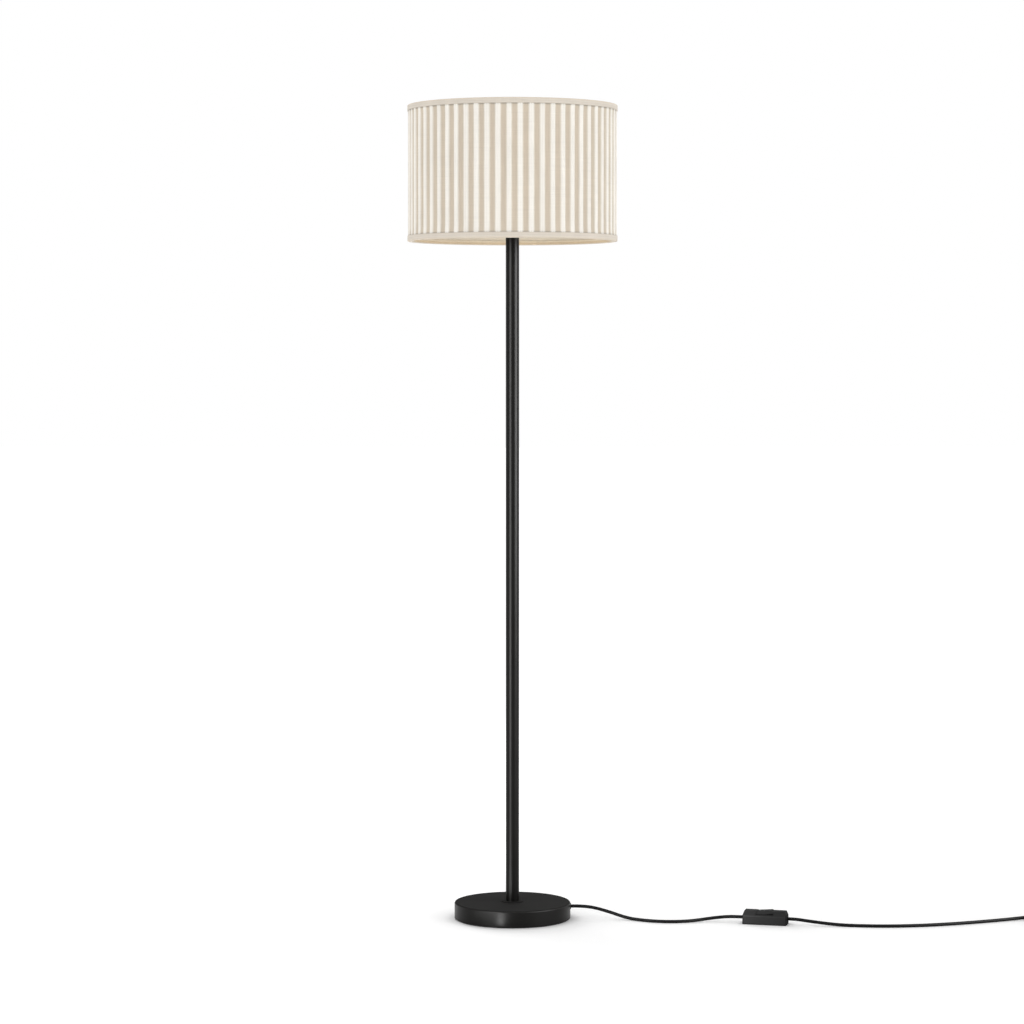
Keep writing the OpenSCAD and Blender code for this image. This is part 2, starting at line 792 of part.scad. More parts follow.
// Switch, in its own frame: middle of its underside, +X along the cord
module at_switch() {
    translate([switch_x, switch_y, 0]) rotate(switch_turn) children();
}

// The whole case outline, drawn in by w and up from the height z
module case_block(w, z) {
    l = switch_l - 2 * w;
    b = switch_w - 2 * w;
    top = switch_h - w;
    intersection() {
        translate([0, b / 2, 0]) rotate([90, 0, 0]) linear_extrude(b) polygon([
            [-l / 2, z], [l / 2, z], [l / 2, switch_bevel_z],
            [l / 2 - switch_end_bevel, top], [-l / 2 + switch_end_bevel, top],
            [-l / 2, switch_bevel_z]
        ]);
        translate([-l / 2, 0, 0]) rotate([90, 0, 90]) linear_extrude(l) polygon([
            [-b / 2, z], [b / 2, z], [b / 2, switch_bevel_z],
            [b / 2 - switch_bevel_w, top], [-b / 2 + switch_bevel_w, top],
            [-b / 2, switch_bevel_z]
        ]);
        linear_extrude(switch_h + 1) {
            square([l - 2 * switch_corner, b], center = true);
            square([l, b - 2 * switch_corner], center = true);
            for (x = [-1, 1], y = [-1, 1])
                translate([x * (l / 2 - switch_corner), y * (b / 2 - switch_corner)])
                    circle(switch_corner, $fn = 32);
        }
    }
}

module cord_holes() {
    translate([-switch_l, 0, switch_part_z]) rotate([0, 90, 0])
        cylinder(d = switch_hole_d, h = 2 * switch_l);
}

module switch_lower_case() {
    post_h = switch_part_z - switch_wall;
    rib_top = switch_part_z - cord_d / 2 - seat_gap;
    color("#1e1e1e") at_switch() difference() {
        union() {
            difference() {
                intersection() {
                    case_block(0, 0);
                    translate([0, 0, switch_part_z / 2])
                        cube([switch_l + 2, switch_w + 2, switch_part_z], center = true);
                }
                case_block(switch_wall, switch_wall);
            }
            for (side = [-1, 1]) {
                translate([side * case_screw_x, 0, switch_wall - 0.5])
                    cylinder(d = post_d, h = post_h + 0.5);
                translate([side * grip_x - rib_t / 2, -rib_w / 2, switch_wall - 0.5])
                    cube([rib_t, rib_w, rib_top - switch_wall + 0.5]);
            }
        }
        cord_holes();
        for (side = [-1, 1]) translate([side * case_screw_x, 0, -1]) {
            cylinder(d = case_screw_d + 2 * head_gap, h = switch_part_z + 2);
            cylinder(d = head_d + 2 * head_gap, h = 1 + head_h + head_sink);
        }
    }
}

module switch_upper_case() {
    bearing_y = rocker_w / 2 + rocker_gap;
    bearing_low = rocker_pivot_z - bearing_drop;
    bearing_back = switch_w / 2 - switch_wall + 0.2;
    bore_y = bearing_y + bearing_l + 0.5;
    under = switch_h - switch_wall;
    color("#1e1e1e") at_switch() difference() {
        union() {
            difference() {
                intersection() {
                    case_block(0, 0);
                    translate([-switch_l, -switch_w, switch_part_z])
                        cube([2 * switch_l, 2 * switch_w, switch_h]);
                }
                case_block(switch_wall, switch_wall);
            }
            for (side = [-1, 1]) {
                translate([side * case_screw_x, 0, switch_part_z])
                    cylinder(d = post_d, h = under - switch_part_z + 0.5);
                translate([-bearing_w / 2, side > 0 ? bearing_y : -bearing_back, bearing_low])
                    cube([bearing_w, bearing_back - bearing_y, rocker_lip_z - bearing_low]);
            }
        }
        cord_holes();
        translate([0, bearing_y, rocker_pivot_z]) rotate([90, 0, 0])
            cylinder(r = rocker_bay_r, h = 2 * bearing_y);
        intersection() {
            translate([0, switch_w / 2, rocker_pivot_z]) rotate([90, 0, 0])
                cylinder(r = rocker_bay_r, h = switch_w);
            translate([-switch_l / 2, -switch_w, rocker_lip_z])
                cube([switch_l, 2 * switch_w, switch_h]);
        }
        translate([0, bore_y, rocker_pivot_z]) rotate([90, 0, 0])
            cylinder(d = rocker_pin_d + 2 * loose_gap, h = 2 * bore_y);
        for (side = [-1, 1]) translate([side * case_screw_x, 0, switch_part_z - 1])
            cylinder(d = case_screw_d + 2 * thread_gap, h = 1 + thread_depth);
    }
}

// Places a piece of the rocker, drawn level with its pivot at the origin
module on_rocker() {
    at_switch() translate([0, 0, rocker_pivot_z]) rotate([0, -rocker_tilt, 0]) children();
}

// Right half of the rocker's rounded end, from one angle down to another
function rocker_end(from, to, first = 0) = [for (k = [first:0.25:1])
    let (a = from + (to - from) * k) [rocker_r * cos(a), rocker_r * sin(a)]];
function mirrored(points) = [for (i = [len(points) - 1:-1:0]) [-points[i][0], points[i][1]]];

module switch_rocker() {
    stub = rocker_gap + bearing_l - loose_gap;
    nose_a = asin(nose_w / 2 / rocker_nose_r);
    wing_end = rocker_end(rocker_edge_a, wing_low_a);
    body_end = concat(
        wing_end,
        rocker_end(wing_low_a, rocker_low_a, 0.25),
        [[rocker_r * cos(rocker_low_a), rocker_under_z], [nose_w / 2, rocker_under_z]]
    );
    nose = [for (k = [-1:0.5:1])
        [-rocker_nose_r * sin(nose_a * k), -rocker_nose_r * cos(nose_a * k)]];
    side_y = switch_w / 2 - loose_gap;
    side_h = switch_h - switch_bevel_z;
    side_z = switch_bevel_z - rocker_pivot_z;
    top_z = side_z + side_h + wing_over_z;
    top_y = side_y - switch_bevel_w * (side_h + wing_over_z) / side_h;
    color("#191919") on_rocker() {
        translate([0, rocker_w / 2, 0]) rotate([90, 0, 0]) linear_extrude(rocker_w)
            polygon(concat([[0, rocker_mid_z]], body_end, nose, mirrored(body_end)));
        intersection() {
            translate([0, switch_w / 2, 0]) rotate([90, 0, 0]) linear_extrude(switch_w)
                polygon(concat(
                    [[0, rocker_mid_z]], wing_end, [[0, wing_mid_z]], mirrored(wing_end)
                ));
            translate([-rocker_bay_r, 0, 0]) rotate([90, 0, 90])
                linear_extrude(2 * rocker_bay_r) polygon([
                    [-side_y, side_z], [side_y, side_z], [top_y, top_z], [-top_y, top_z]
                ]);
        }
        translate([0, rocker_w / 2 + stub, 0]) rotate([90, 0, 0])
            cylinder(d = rocker_pin_d, h = rocker_w + 2 * stub);
    }
}

// Contact bar under the rocker's left half
module switch_bridge() {
    color("#c9a94e") on_rocker()
        translate([bridge_x, -bridge_w / 2, rocker_under_z - bridge_t])
            cube([bridge_l, bridge_w, bridge_t]);
}

module switch_contacts() {
    drop = -bridge_x * sin(rocker_tilt) + (bridge_t - rocker_under_z) * cos(rocker_tilt);
    top = rocker_pivot_z - drop - loose_gap;
    color("#c9a94e") at_switch() for (side = [-1, 1])
        translate([bridge_x, side * contact_y - contact_w / 2, switch_wall])
            cube([contact_l, contact_w, top - switch_wall]);
}

module switch_neutral_link() {
    color("#c9a94e") at_switch() translate([-link_l / 2, link_y, switch_wall])
        cube([link_l, link_w, link_h]);
}

module switch_detent_spring() {
    top = rocker_pivot_z - rocker_nose_r - loose_gap - switch_wall;
    low = top - spring_t;
    foot = spring_reach - 2;
    knee = spring_reach - 7;
    side = spring_t / 2;
    color("#c4c7ca") at_switch() translate([0, spring_w / 2, switch_wall]) rotate([90, 0, 0])
        linear_extrude(spring_w) polygon([
            [-spring_reach, 0], [-foot, 0], [-knee, low], [knee, low], [foot, 0],
            [spring_reach, 0], [spring_reach, spring_t], [foot + side, spring_t],
            [knee + side, top], [-knee - side, top], [-foot - side, spring_t],
            [-spring_reach, spring_t]
        ]);
}

module switch_cord_clamps() {
    leg_in = cord_d / 2 + loose_gap;
    leg_t = 2.5;
    bar_z = switch_part_z + cord_d / 2 + seat_gap;
    color("#d8d4ca") at_switch() for (side = [-1, 1])
        translate([side * grip_x - grip_l / 2, 0, 0]) {
            translate([0, -leg_in - leg_t, bar_z]) cube([grip_l, 2 * (leg_in + leg_t), 2.4]);
            for (y = [-leg_in - leg_t, leg_in])
                translate([0, y, switch_wall]) cube([grip_l, leg_t, bar_z - switch_wall + 0.5]);
        }
}

module switch_screws() {
    color("#a9adb0") at_switch() for (side = [-1, 1])
        translate([side * case_screw_x, 0, head_sink]) {
            cylinder(d = head_d, h = head_h);
            cylinder(d = case_screw_d, h = switch_part_z + 6);
        }
}

// Cord on the floor
module cord_to_switch() {
    color("#1d1d1d") tube(TO_SWITCH, cord_d, 10);
}

// Smooth step from 0 to 1
function ease(f) = let (c = min(max(f, 0), 1)) c * c * (3 - 2 * c);

// Centreline of the coil after s turns: in on the floor, one climb, out on top
function coil_at(s) =
    let (
        back = s - coil_layer_turns,
        r = coil_inner_r + coil_pitch * (sqrt(pow(back, 2) + 0.0225) - 0.15),
        a = coil_start_a - 360 * s,
        z = coil_z + coil_pitch * ease((back + 0.25) / 0.5)
    )
    [coil_x + r * cos(a), coil_y + r * sin(a), z];
coil_end = 2 * coil_layer_turns;
coil_turns = [for (k = [0:coil_rings * coil_end]) coil_at(k / coil_rings)];
coil_way_in = unit(coil_at(0.001) - coil_at(0));
coil_way_out = unit(coil_at(coil_end) - coil_at(coil_end - 0.001));
coil_lead_in = coil_at(0) - cord_d * coil_way_in;
coil_lead_out = coil_at(coil_end) + cord_d * coil_way_out;
coil_path = concat([coil_lead_in], coil_turns, [coil_lead_out]);

// Least gap between one turn and another, over all pairs past half a turn apart
coil_gap = min([for (i = [0:len(coil_turns) - 1])
    for (j = [i + coil_rings / 2:1:len(coil_turns) - 1]) norm(coil_turns[i] - coil_turns[j])])
    - cord_d;
echo(coil_least_gap_mm = coil_gap);

module cord_from_switch() {
    last = coil_lead_in - cord_d * coil_way_in;
    color("#1d1d1d") tube(concat(FROM_SWITCH, [last, coil_lead_in]), cord_d, 10);
}

module cord_coil() {
    color("#1d1d1d") tube(coil_path, cord_d, coil_sides);
}

module cord_tie() {
    inner = coil_inner_r - cord_d / 2 - 1;
    outer = coil_outer_r + cord_d / 2 + 1;
    top = coil_z + coil_pitch + cord_d / 2 + 0.2;
    color("#3a3a3a") translate([coil_x, coil_y, 0]) rotate(tie_a) difference() {
        translate([inner - tie_t, -tie_w / 2, 0.1])
            cube([outer - inner + 2 * tie_t, tie_w, top + tie_t - 0.1]);
        translate([inner, -tie_w, 0.1 + tie_t]) cube([outer - inner, 2 * tie_w, top - tie_t - 0.1]);
    }
}

// Plug, in its own frame: the cord's entry at the origin, pins towards +X
module at_plug() {
    translate([plug_x, plug_y, plug_z]) rotate(plug_turn) children();
}

function plug_point(x) =
    [plug_x + x * cos(plug_turn), plug_y + x * sin(plug_turn), plug_z];

module cord_to_plug() {
    path = [
        coil_lead_out, coil_lead_out + cord_d * coil_way_out,
        plug_point(-13) + [0, 0, 1.2], plug_point(-6), plug_point(-1),
        plug_point(relief_grip_l)
    ];
    color("#1d1d1d") tube(path, cord_d, 10);
}

module plug_strain_relief() {
    ribs = 4;
    step = relief_l / (2 * ribs + 1);
    color("#1c1c1c") at_plug() rotate([90, 0, 90]) difference() {
        cylinder(d1 = relief_end_d, d2 = relief_d, h = relief_l, $fn = 48);
        translate([0, 0, -1]) cylinder(d = relief_hole_d, h = relief_grip_l + 1);
        for (k = [1:ribs]) translate([0, 0, (2 * k - 1) * step]) difference() {
            cylinder(d = relief_d + 2, h = step);
            translate([0, 0, -1]) cylinder(d = relief_hole_d + 1.2, h = step + 2);
        }
    }
}

module plug_body() {
    back_w = 22;
    edge = 3;
    color("#1c1c1c") at_plug() translate([relief_l, 0, 0]) difference() {
        intersection() {
            translate([0, 0, -plug_z]) linear_extrude(plug_t) polygon([
                [0, -back_w / 2 + edge], [edge, -back_w / 2], [plug_l * 0.45, -plug_w / 2 + 1],
                [plug_l * 0.55, -plug_w / 2], [plug_l, -plug_w / 2],
                [plug_l, plug_w / 2], [plug_l * 0.55, plug_w / 2],
                [plug_l * 0.45, plug_w / 2 - 1], [edge, back_w / 2], [0, back_w / 2 - edge]
            ]);
            rotate([90, 0, 90]) linear_extrude(plug_l) polygon([
                [-plug_w / 2, -plug_z + edge], [-plug_w / 2 + edge, -plug_z],
                [plug_w / 2 - edge, -plug_z], [plug_w / 2, -plug_z + edge],
                [plug_w / 2, plug_z - edge], [plug_w / 2 - edge, plug_z],
                [-plug_w / 2 + edge, plug_z], [-plug_w / 2, plug_z - edge]
            ]);
        }
        for (side = [-1, 1]) translate([plug_l - pin_root_l, side * pin_gap / 2, 0])
            rotate([0, 90, 0]) cylinder(d = pin_core_d + 2 * seat_gap, h = pin_root_l + 1, $fn = 32);
    }
}

// Draws a piece at each pin, with +Z along the pin from the body's face
module at_pins() {
    at_plug() for (side = [-1, 1])
        translate([relief_l + plug_l, side * pin_gap / 2, 0]) rotate([90, 0, 90]) children();
}

module plug_pins() {
    color("#c9cbcd") at_pins() {
        translate([0, 0, -pin_root_l]) cylinder(d = pin_core_d, h = pin_root_l + pin_l, $fn = 32);
        translate([0, 0, sleeve_l]) cylinder(d = pin_d, h = pin_l - sleeve_l, $fn = 32);
    }
}

module plug_pin_sleeves() {
    color("#1c1c1c") at_pins() difference() {
        cylinder(d = pin_d, h = sleeve_l, $fn = 32);
        translate([0, 0, -1]) cylinder(d = pin_core_d + 2 * seat_gap, h = sleeve_l + 2, $fn = 32);
    }
}

base_pad();
base_cover();
base_weight();
base_washer();
base_nut();
base_stud();
cord_bush();
cord_clamp();
cord_clamp_screws();
inner_cord();
pole_foot_ring();
pole_foot_plug();
pole_lower();
pole_coupler_lower();
pole_middle();
pole_coupler_upper();
pole_upper();
pole_top_plug();
pole_top_nipple();
lampholder_cap();
lampholder_insulator();
lampholder_skirt();
lampholder_screw_shell();
lampholder_contact();
lampholder_screws();
shade_ring_lower();
shade_ring_upper();
bulb_tip();
bulb_cap();
bulb_body();
bulb_globe();
shade_fitter();
shade_top_ring();
shade_bottom_ring();
shade_liner();
shade_cover();
shade_top_trim();
shade_bottom_trim();
cord_to_switch();
switch_lower_case();
switch_upper_case();
switch_rocker();
switch_bridge();
switch_contacts();
switch_neutral_link();
switch_detent_spring();
switch_cord_clamps();
switch_screws();
cord_from_switch();
cord_coil();
cord_tie();
cord_to_plug();
plug_strain_relief();
plug_body();
plug_pins();
plug_pin_sleeves();
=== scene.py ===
import math
import random

import bmesh
import bpy
import numpy as np
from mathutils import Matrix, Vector


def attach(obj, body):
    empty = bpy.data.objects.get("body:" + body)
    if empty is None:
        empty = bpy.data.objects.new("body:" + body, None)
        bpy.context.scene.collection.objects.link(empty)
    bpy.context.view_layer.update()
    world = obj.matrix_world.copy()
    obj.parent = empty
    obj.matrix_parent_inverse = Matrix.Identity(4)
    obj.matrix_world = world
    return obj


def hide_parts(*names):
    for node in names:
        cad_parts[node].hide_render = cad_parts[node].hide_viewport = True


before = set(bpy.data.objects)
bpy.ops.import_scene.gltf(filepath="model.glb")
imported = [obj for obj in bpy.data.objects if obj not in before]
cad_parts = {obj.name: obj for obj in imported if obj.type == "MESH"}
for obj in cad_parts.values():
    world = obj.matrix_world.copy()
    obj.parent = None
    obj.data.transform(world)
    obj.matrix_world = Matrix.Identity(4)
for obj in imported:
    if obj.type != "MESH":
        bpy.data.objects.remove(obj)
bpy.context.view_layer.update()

# Floor lamp with a pleated drum shade, dressed for a studio picture. The frame
# is that of the CAD: metres, +Z up, the front towards -Y, the cord towards +X.
# Sizes below are in millimetres, as in the CAD source, and MM turns them into metres.
MM = 0.001
LAMP = "lamp"
chance = random.Random(7)
# Angles round the lamp's axis, in degrees
FRONT = 270
BACK = 90

# Camera, as read from the photograph, with its place and reach in metres
CAMERA_AT = (-0.008, -5.5812, 1.0161)
CAMERA_DOWN = 1.6875
CAMERA_TURN = -0.0737
CAMERA_SHIFT = -0.06
CAMERA_LENS = 108.27
CAMERA_NEAR = 0.1
CAMERA_FAR = 60
SENSOR = 36

# Cord: its routes on the floor, as in the CAD source
CORD_D = 6
EXIT = (106.5, 0, 22)
TO_SWITCH = [
    (106.5, 0, 22), (116, 0, 22), (128, -0.4, 21.6), (140, -1, 20.5), (154, -2.4, 18),
    (167, -4.6, 14.8), (180, -8, 11.4), (192, -12.6, 8), (205, -19, 5), (217, -26, 3.5),
    (229, -33, 3), (246, -43, 3), (264, -49.6, 3), (282, -52, 3), (300, -51, 3),
    (318, -46.5, 3.1), (337, -39.6, 3.8), (355, -35, 5.4), (373, -34, 7.4), (391, -38, 9.4),
    (404, -43.9, 10.4), (411.4, -45.9, 10.5), (417.2, -47.3, 10.5), (429.3, -50.3, 10.5),
]
FROM_SWITCH = [
    (482.7, -63.7, 10.5), (494.8, -66.7, 10.5), (500.6, -68.1, 10.5), (512, -71, 10.1),
    (532, -75.5, 8), (549, -78.4, 6.2), (566, -81.6, 4.6), (584, -85.8, 3.5),
    (602, -89.6, 3), (637, -95, 3), (672, -96.8, 3), (708, -94, 3), (744, -87.6, 3),
    (781, -77.4, 3), (819, -64.2, 3), (857, -48.8, 3), (895, -32.2, 3.2), (919, -21.8, 3.6),
    (938, -13.4, 4),
]
# How finely a cord's tube is divided round itself and between two points
CORD_ROUNDNESS = 5
CORD_FINENESS = 4

# Coil of the length that the photograph doesn't show
COIL_X = 982
COIL_Y = -40
COIL_Z = 4.2
COIL_START = 114
COIL_INNER_R = 25
COIL_PITCH = 7
COIL_LAYER_TURNS = 2.5
COIL_RINGS = 24
# Parts of a turn: over which the spiral turns back outwards, over which the coil
# climbs to its second layer, and a small step that shows its direction
COIL_TURN_BACK = 0.15
COIL_CLIMB = 0.5
COIL_NUDGE = 0.001

# Plug, and the cord's last points as distances along it and rises above its middle
PLUG_X = 1001
PLUG_Y = 15
PLUG_Z = 6.85
PLUG_TURN = 25
INTO_PLUG = [(-13, 1.2), (-6, 0), (-1, 0), (16, 0)]

# Cord inside the lamp: a slope to the low point, a bend, and points up the pole
INNER_START_X = 78
INNER_END_X = 18
INNER_LOW_Z = 6.5
INNER_SLOPE_STEPS = 6
INNER_BEND_R = 12
INNER_BEND_STEP = 18
INNER_POLE_Z = [46, 600, 1296]

BASE_H = 30.5
BASE_R = 105.5

# Inline switch: its place on the floor and its size
SWITCH_AT = (456, -57)
SWITCH_TURN = -14
SWITCH_L = 80
SWITCH_W = 30
SWITCH_H = 24

# Shade
SHADE_TOP = 1475
SHADE_BOTTOM = 1230
SHADE_R = 190
CLOTH_TOP = 1474.1
CLOTH_BOTTOM = 1230.9
ARM_ANGLES = (90, 210, 330)

# Pleated cover
PLEATS = 60
PLEAT_TURN = -1.85
PLEAT_DEPTH = 3.8
RIDGE_R = 189.1
CLOTH_T = 0.6
# Half a pleat from its middle to the middle of the valley: the angle from the
# pleat's middle in degrees, and how far it lies below the crest in millimetres
HALF_PLEAT = [
    (0, 0.5), (0.1, 0.36), (0.22, 0.1), (0.4, 0), (0.75, 0.03), (0.98, 0.24), (1.15, 0.66),
    (1.32, 1.2), (1.5, 1.85), (1.68, 2.5), (1.86, 3.1), (2.06, 3.5), (2.35, 3.7), (2.7, 3.62),
]
# Ranges of a pleat's chance departures: its middle's shift in degrees, its width as
# a share, its crest's drop in millimetres, its sway in degrees and the sway's waves
PLEAT_SHIFT = (-0.07, 0.07)
PLEAT_WIDTH = (0.95, 1.05)
PLEAT_DROP = (0, 0.3)
PLEAT_SWAY = (0.01, 0.05)
PLEAT_WAVES = (0.6, 1.7)
# Degrees from a pleat's middle at which its departures start to fade, and over
# which they do, so that the middle of a valley stays in place
HOLD_FROM = 1.7
HOLD_FADE = 1.3
# Distances of the cover's first rows from its edges. The trims flatten the
# pleats' valleys near them, by a share that fades over a distance.
EDGE_ROWS = [0, 6, 10, 13, 16, 19, 23, 28, 35, 44]
MIDDLE_ROWS = 20
PRESSED_SHARE = 0.5
PRESSED_FADE = 9

# Liner, and its lapped seam's width and thickness
LINER_OUTER = 184.05
LINER_INNER = 183.3
LINER_LAP = 12
LINER_LAP_T = 0.35
LINER_COLUMNS = 240
LINER_ROWS = 9

# Trim tape: its thickness, its leg outside the shade, its leg inside it, and the
# radius to which it is bent over the rim
TRIM_T = 0.8
TRIM_H = 10
TRIM_TURN_H = 8
TRIM_INNER = 179.3
TRIM_BEND_R = 1.3
TRIM_STEPS = 12
# Rows of the tape: down the outer leg, over the rim, down the inner leg
OUTER_LEG_ROWS = 18
RIM_ROWS = 7
INNER_LEG_ROWS = 9
BEND_ANGLES = (20, 45, 70)
# Ribs woven along the tape
RIB_H = 0.1
RIB_PITCH = 2.3
# The outer leg dips into the valleys, from a distance below the rim on
TRIM_DIP = 0.35
DIP_FROM = 5
DIP_FADE = 6
# From this distance below the rim on the tape has its face's look, and nearer the
# rim that gives way to the rim's look over a distance
FACE_FROM = 2.8
FACE_FADE = 1.5
# From the wire ring down the inner leg leans out to the liner, less a clearance,
# and takes its end's lighter tone, which is painted light, over a distance
RING_DROP = 4.2
LEAN_GAP = 0.2
TAPE_END_FADE = 1.2
# The tape's free edge outside wanders a little, in two sets of waves round the
# shade: height, number of waves and phase of each. This starts at a distance
# below the rim and grows over another.
EDGE_WAVES = ((0.12, 7, 1), (0.08, 17, 0))
WANDER_FROM = 7
WANDER_FADE = 4.5
# The top tape is cut short where an arm of the fitter meets the wire ring
NOTCH_HALF = 2.8
NOTCH_H = 0.9


# Camera
def make_camera():
    data = bpy.data.cameras.new("camera")
    data.sensor_width = SENSOR
    data.lens = CAMERA_LENS
    data.shift_y = CAMERA_SHIFT
    data.clip_start = CAMERA_NEAR
    data.clip_end = CAMERA_FAR
    camera = bpy.data.objects.new("camera", data)
    camera.location = CAMERA_AT
    camera.rotation_euler = (math.radians(90 - CAMERA_DOWN), 0, math.radians(CAMERA_TURN))
    bpy.context.scene.collection.objects.link(camera)
    bpy.context.scene.camera = camera


make_camera()


# Cords
def metres(points):
    return [Vector(p) * MM for p in points]


def cord_tube(name, points):
    """A round tube on a smooth line through the points, which are in metres. Gives
    the tube and the points along its middle."""
    data = bpy.data.curves.new(name + "_guide", "CURVE")
    data.dimensions = "3D"
    data.bevel_resolution = CORD_ROUNDNESS
    data.resolution_u = CORD_FINENESS
    data.use_fill_caps = True
    spline = data.splines.new("BEZIER")
    spline.bezier_points.add(len(points) - 1)
    for knot, point in zip(spline.bezier_points, points):
        knot.co = point
        knot.handle_left_type = "AUTO"
        knot.handle_right_type = "AUTO"
    guide = bpy.data.objects.new(name + "_guide", data)
    bpy.context.scene.collection.objects.link(guide)
    middle = bpy.data.meshes.new_from_object(guide)
    path = [v.co.copy() for v in middle.vertices]
    data.bevel_depth = CORD_D / 2 * MM
    bpy.context.view_layer.update()
    mesh = bpy.data.meshes.new_from_object(guide)
    mesh.name = name
    mesh.shade_smooth()
    bpy.data.objects.remove(guide)
    bpy.data.curves.remove(data)
    bpy.data.meshes.remove(middle)
    tube = bpy.data.objects.new(name, mesh)
    bpy.context.scene.collection.objects.link(tube)
    return tube, path


def ease(f):
    c = min(max(f, 0), 1)
    return c * c * (3 - 2 * c)


def coil_at(s):
    """Centreline of the coil after s turns: in on the floor, one climb, out on top."""
    back = s - COIL_LAYER_TURNS
    r = COIL_INNER_R + COIL_PITCH * (math.sqrt(back ** 2 + COIL_TURN_BACK ** 2) - COIL_TURN_BACK)
    a = math.radians(COIL_START - 360 * s)
    z = COIL_Z + COIL_PITCH * ease((back + COIL_CLIMB / 2) / COIL_CLIMB)
    return Vector((COIL_X + r * math.cos(a), COIL_Y + r * math.sin(a), z)) * MM


def plug_point(along, rise):
    a = math.radians(PLUG_TURN)
    x = PLUG_X + along * math.cos(a)
    y = PLUG_Y + along * math.sin(a)
    return Vector((x, y, PLUG_Z + rise)) * MM


def coiled_route():
    """From the switch over the floor, round the coil and into the plug."""
    turns = 2 * COIL_LAYER_TURNS
    count = int(COIL_RINGS * turns)
    way_in = (coil_at(COIL_NUDGE) - coil_at(0)).normalized()
    way_out = (coil_at(turns) - coil_at(turns - COIL_NUDGE)).normalized()
    step = CORD_D * MM
    into = [coil_at(0) - 2 * step * way_in, coil_at(0) - step * way_in]
    round_it = [coil_at(k / COIL_RINGS) for k in range(count + 1)]
    out = [coil_at(turns) + step * way_out, coil_at(turns) + 2 * step * way_out]
    ends = [plug_point(along, rise) for along, rise in INTO_PLUG]
    return metres(FROM_SWITCH) + into + round_it + out + ends


def inner_slope():
    """From the base's edge down to the low point, in an even S."""
    run = INNER_START_X - INNER_END_X
    fall = EXIT[2] - INNER_LOW_Z
    points = []
    for k in range(INNER_SLOPE_STEPS + 1):
        x = INNER_START_X - run * k / INNER_SLOPE_STEPS
        z = EXIT[2] - fall * (1 - math.cos(math.pi * k / INNER_SLOPE_STEPS)) / 2
        points.append((x, 0, z))
    return points


def inner_bend():
    """A quarter round under the stud, from level to upright."""
    points = []
    for angle in range(0, 91, INNER_BEND_STEP):
        a = math.radians(angle)
        x = INNER_BEND_R * (1 - math.sin(a))
        z = INNER_LOW_Z + INNER_BEND_R * (1 - math.cos(a))
        points.append((x, 0, z))
    return points


def inner_route():
    """Inside the lamp: from the base's edge down under the stud and up the pole."""
    up_pole = [(0, 0, z) for z in INNER_POLE_Z]
    return metres([EXIT] + inner_slope() + inner_bend() + up_pole)


lead_to_switch, path_to_switch = cord_tube("lead_to_switch", metres(TO_SWITCH))
lead_to_plug, path_to_plug = cord_tube("lead_to_plug", coiled_route())
lead_inside, _ = cord_tube("lead_inside", inner_route())
for lead in (lead_to_switch, lead_to_plug, lead_inside):
    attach(lead, LAMP)
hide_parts("cord_to_switch")
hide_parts("cord_from_switch", "cord_coil", "cord_to_plug")
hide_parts("inner_cord")


# Shader nodes
def node(tree, kind, inputs=None, **settings):
    """Adds a shader node. An input is given a value, or a socket to link from."""
    made = tree.nodes.new(kind)
    for key, value in settings.items():
        setattr(made, key, value)
    for key, value in (inputs or {}).items():
        if isinstance(value, bpy.types.NodeSocket):
            tree.links.new(value, made.inputs[key])
        else:
            made.inputs[key].default_value = value
    return made


def start_material(name, **values):
    """A new material: its tree and its shader, with the values set on the shader."""
    made = bpy.data.materials.new(name)
    made.use_nodes = True
    shader = made.node_tree.nodes["Principled BSDF"]
    for key, value in values.items():
        shader.inputs[key.replace("_", " ")].default_value = value
    return made, made.node_tree, shader


def linear(r, g, b):
    """A colour given as it shows on a screen, from 0 to 255, in linear light."""
    parts = [c / 255 for c in (r, g, b)]
    parts = [p / 12.92 if p <= 0.04045 else ((p + 0.055) / 1.055) ** 2.4 for p in parts]
    return (*parts, 1)


def object_place(tree):
    """Object coordinates, which are the frame's own, in metres."""
    return node(tree, "ShaderNodeTexCoord").outputs["Object"]


def stretched(tree, at, stretch):
    return node(tree, "ShaderNodeMapping", {"Vector": at, "Scale": stretch}).outputs["Vector"]


def parts_of(tree, vector):
    parts = node(tree, "ShaderNodeSeparateXYZ", {"Vector": vector}).outputs
    return parts["X"], parts["Y"], parts["Z"]


def noise(tree, at, scale, detail=2, roughness=0.5):
    made = node(
        tree, "ShaderNodeTexNoise",
        {"Vector": at, "Scale": scale, "Detail": detail, "Roughness": roughness},
    )
    return made.outputs["Fac"]


def remap(tree, value, low, high, to_low, to_high):
    made = node(
        tree, "ShaderNodeMapRange",
        {"Value": value, "From Min": low, "From Max": high, "To Min": to_low, "To Max": to_high},
    )
    return made.outputs["Result"]


def remap_mm(tree, value, low, high, to_low, to_high):
    """Remaps a value in metres between two limits in millimetres."""
    return remap(tree, value, low * MM, high * MM, to_low, to_high)


def math_node(tree, operation, a, b=0.0):
    return node(tree, "ShaderNodeMath", {0: a, 1: b}, operation=operation).outputs["Value"]


def times(tree, level, *factors):
    for factor in factors:
        level = math_node(tree, "MULTIPLY", level, factor)
    return level


def mix_number(tree, factor, a, b):
    return node(tree, "ShaderNodeMix", {0: factor, 2: a, 3: b}, data_type="FLOAT").outputs[0]


def mix_colour(tree, factor, a, b, blend="MIX"):
    mixed = node(
        tree, "ShaderNodeMix", {0: factor, 6: a, 7: b}, data_type="RGBA", blend_type=blend,
    )
    return mixed.outputs[2]


